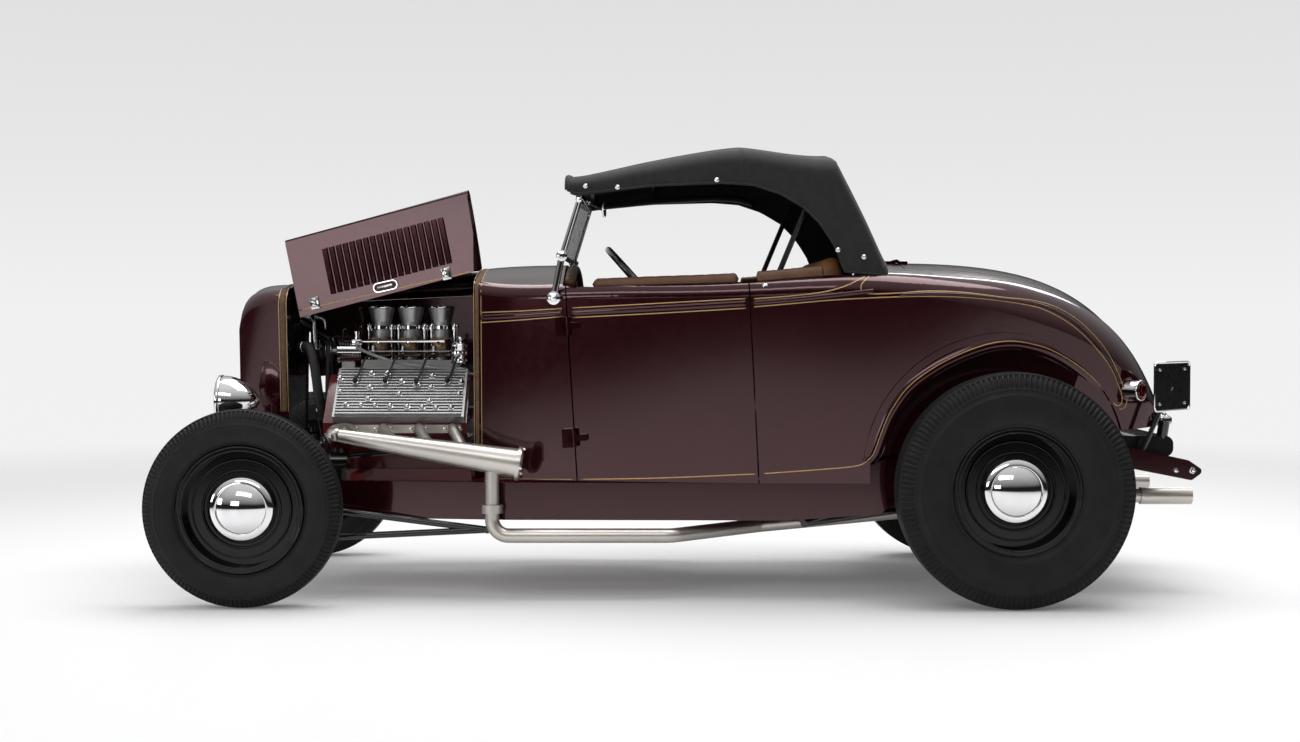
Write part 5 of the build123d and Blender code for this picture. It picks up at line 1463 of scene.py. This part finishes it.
def gauge_faces(work):
    for y, r in GAUGES:
        turned_into(work, [(r - 4, 0), (r - 4, 3), (0, 3.5)], spot(GAUGE_STATION, y, GAUGE_HEIGHT), AFT, 40)


MIRROR = [(0, -9), (16, -9), (24, -7), (28, -2), (28, 3), (24, 6), (0, 7)]
MIRROR_WIDE = 2.9
MIRROR_FOOT = [(13, 0), (13, 4), (8, 9), (0, 10)]


def mirror(work):
    centre = spot(1247, 0, 1427)
    turned_into(work, MIRROR, centre, AFT, 40)
    for vertex in work.verts:
        vertex.co.y *= MIRROR_WIDE
    arm = [centre + Vector((-0.005, 0, 0)), spot(1222, 0, 1436), spot(1182, 0, 1456)]
    swept_into(work, curve_points(arm, 14), 0.005)
    turned_into(work, MIRROR_FOOT, spot(1182, 0, 1458), (0.6, 0, -0.8), 20)


# Knob on the windshield's post: profile, place, segments
POST_KNOBS = (
    ([(19, 0), (20, 2), (20, 8), (15, 10), (9, 11), (9, 16), (12, 18), (12, 26), (8, 30), (0, 31)],
     (1107, 523, 1236), 28),
    ([(24, -2), (24, 2), (18, 5), (13, 6), (11, 10), (6, 12), (0, 13)], (1077, 522, 1084), 28),
    ([(11, 0), (11, 4), (7, 6), (7, 10), (0, 12)], (1168, 520, 1437), 18),
)


def post_knobs(work):
    for sign in SIDES.values():
        for profile, (s, y, z), segments in POST_KNOBS:
            turned_into(work, profile, spot(s, sign * y, z), (0, sign, 0), segments)
        post = [spot(s, sign * 514, z) for s, z in ((1107, 1236), (1146, 1364), (1172, 1450))]
        swept_into(work, post, [0.010, 0.009, 0.008], 12)


piece("gauge_rims", gauge_rims, CHROME)
piece("gauge_faces", gauge_faces, DARK)
piece("cabin_mirror", mirror, CHROME)
piece("windshield_knobs", post_knobs, CHROME)

# Fasteners on the canvas, and the top irons' pivots

FASTENERS = [(585.5, 186), (617.6, 187.2), (716.8, 180), (838, 250), (864, 257)]
FASTENER = [(8.5, -2), (8.5, 2.5), (7, 4), (5, 4.4), (4, 6.5), (0, 7.5)]
IRON_STUD = [(10, -1), (10, 1.5), (7, 3.5), (0, 5)]
IRON_BOLT = [(19, -14), (19, 12), (15, 15), (10, 16), (8, 20), (0, 22)]


def studs_seen(work, sign, pixels, node, profile):
    for px, py in pixels:
        hit = seen_at(px, py, node)
        if hit:
            turned_into(work, profile, on_side(hit[0], sign), on_side(hit[1], sign), 18)


def iron_pivots(work, sign):
    studs_seen(work, sign, [(765, 285)], "rear_body", IRON_STUD)
    turned_into(work, IRON_BOLT, spot(1860, sign * 548, 1118), (0, sign, 0), 24)


pair("canvas_fasteners", lambda work, sign: studs_seen(work, sign, FASTENERS, "soft_top", FASTENER), CHROME)
pair("iron_pivots", iron_pivots, CHROME)

# Wheel arch lips: a rolled flare round each rear opening, with its stripe

HUB_PIXEL = Vector((1014, 495))
# Out from the stripe in pixels, towards the car's middle in millimetres
LIP = [
    (6.5, 5), (6, -1), (3.5, -6), (0, -9), (-3.5, -9.5), (-6.5, -7), (-8.5, -1), (-8.8, 34), (-7, 34),
    (-6, 2), (0, 0),
]


def arch_frames(count):
    """Pixel, outward pixel direction and the body's offset there, round the arch."""
    found = []
    for p in pixel_curve(ARCH, count):
        pixel = Vector((p.x, p.y))
        away = (pixel - HUB_PIXEL).normalized()
        sought = pixel + away * 16
        hit = seen_at(sought.x, sought.y, "rear_body")
        found.append((pixel, away, hit[0].y if hit and hit[0].y < -0.40 else None))
    known = [index for index, row in enumerate(found) if row[2] is not None]
    offsets = [found[min(known, key=lambda k: abs(k - index))][2] for index in range(count)]
    smooth = []
    for index, (pixel, away, _) in enumerate(found):
        near = offsets[max(index - 6, 0):index + 7]
        smooth.append((pixel, away, sum(near) / len(near)))
    return smooth


ARCH_FRAMES = arch_frames(120)


def arch_lip(work, sign):
    rows = []
    for pixel, away, offset in ARCH_FRAMES:
        row = []
        for shift, inward in LIP:
            at = pixel + away * shift
            row.append(work.verts.new(on_side(pixel_at(at.x, at.y, offset + inward / 1000), sign)))
        rows.append(row)
    skin(work, rows, caps=True)


def arch_stripe(work, sign):
    facing = on_side(Vector((0, -1, 0.1)).normalized(), sign)
    points = [pixel_at(pixel.x, pixel.y, offset - 0.009) for pixel, _, offset in ARCH_FRAMES]
    ribbon_into(work, [(on_side(p, sign), facing) for p in points], STRIPE, RISE)


pair("arch_lip", arch_lip, PAINT, sharp=50)
pair("stripe_arch", arch_stripe, GOLD, sharp=None)

# Door cards: pleated leather on the inside of each door, in millimetres

CARD_START = (1242, 486)
CARD_SIZE = (500, 606)
CARD_GRID = (130, 44)
CARD_BORDER = 44
CARD_PLEAT = 42
CARD_THICK = 9
CARD_ROUND = 14
CARD_SUNK = -1.5


def card_relief(along, up):
    """How far the card's face stands off the door."""
    length, height = CARD_SIZE
    edge = min(along, length - along, up, height - up)
    crown = math.sqrt(max(1 - (1 - min(edge / CARD_ROUND, 1)) ** 2, 0))
    inside = min(max((edge - CARD_BORDER) / 8, 0), 1)
    flute = abs(math.sin(math.pi * (along - length / 2) / CARD_PLEAT)) ** 0.55
    seam = math.exp(-((edge - CARD_BORDER) / 3.5) ** 2)
    return 1 + CARD_THICK * crown * (1 - inside * 0.55 * (1 - flute)) * (1 - 0.5 * seam)


def card_into(work, sign):
    door = tree_of("door_left" if sign == LEFT else "door_right")
    columns, rows = CARD_GRID
    front, back = [], []
    for row in range(rows + 1):
        up = CARD_SIZE[1] * row / rows
        front.append([])
        back.append([])
        for column in range(columns + 1):
            along = CARD_SIZE[0] * column / columns
            start = spot(CARD_START[0] + along, sign * 300, CARD_START[1] + up)
            wall = door.ray_cast(start, Vector((0, sign, 0)))[0]
            for grid, proud in ((front, card_relief(along, up)), (back, CARD_SUNK)):
                grid[-1].append(work.verts.new(wall - Vector((0, sign * proud / 1000, 0))))
    shell_into(work, front, back)


for card in pair("door_card", card_into, LEATHER_PAINTED_SHADE, DOOR, 60):
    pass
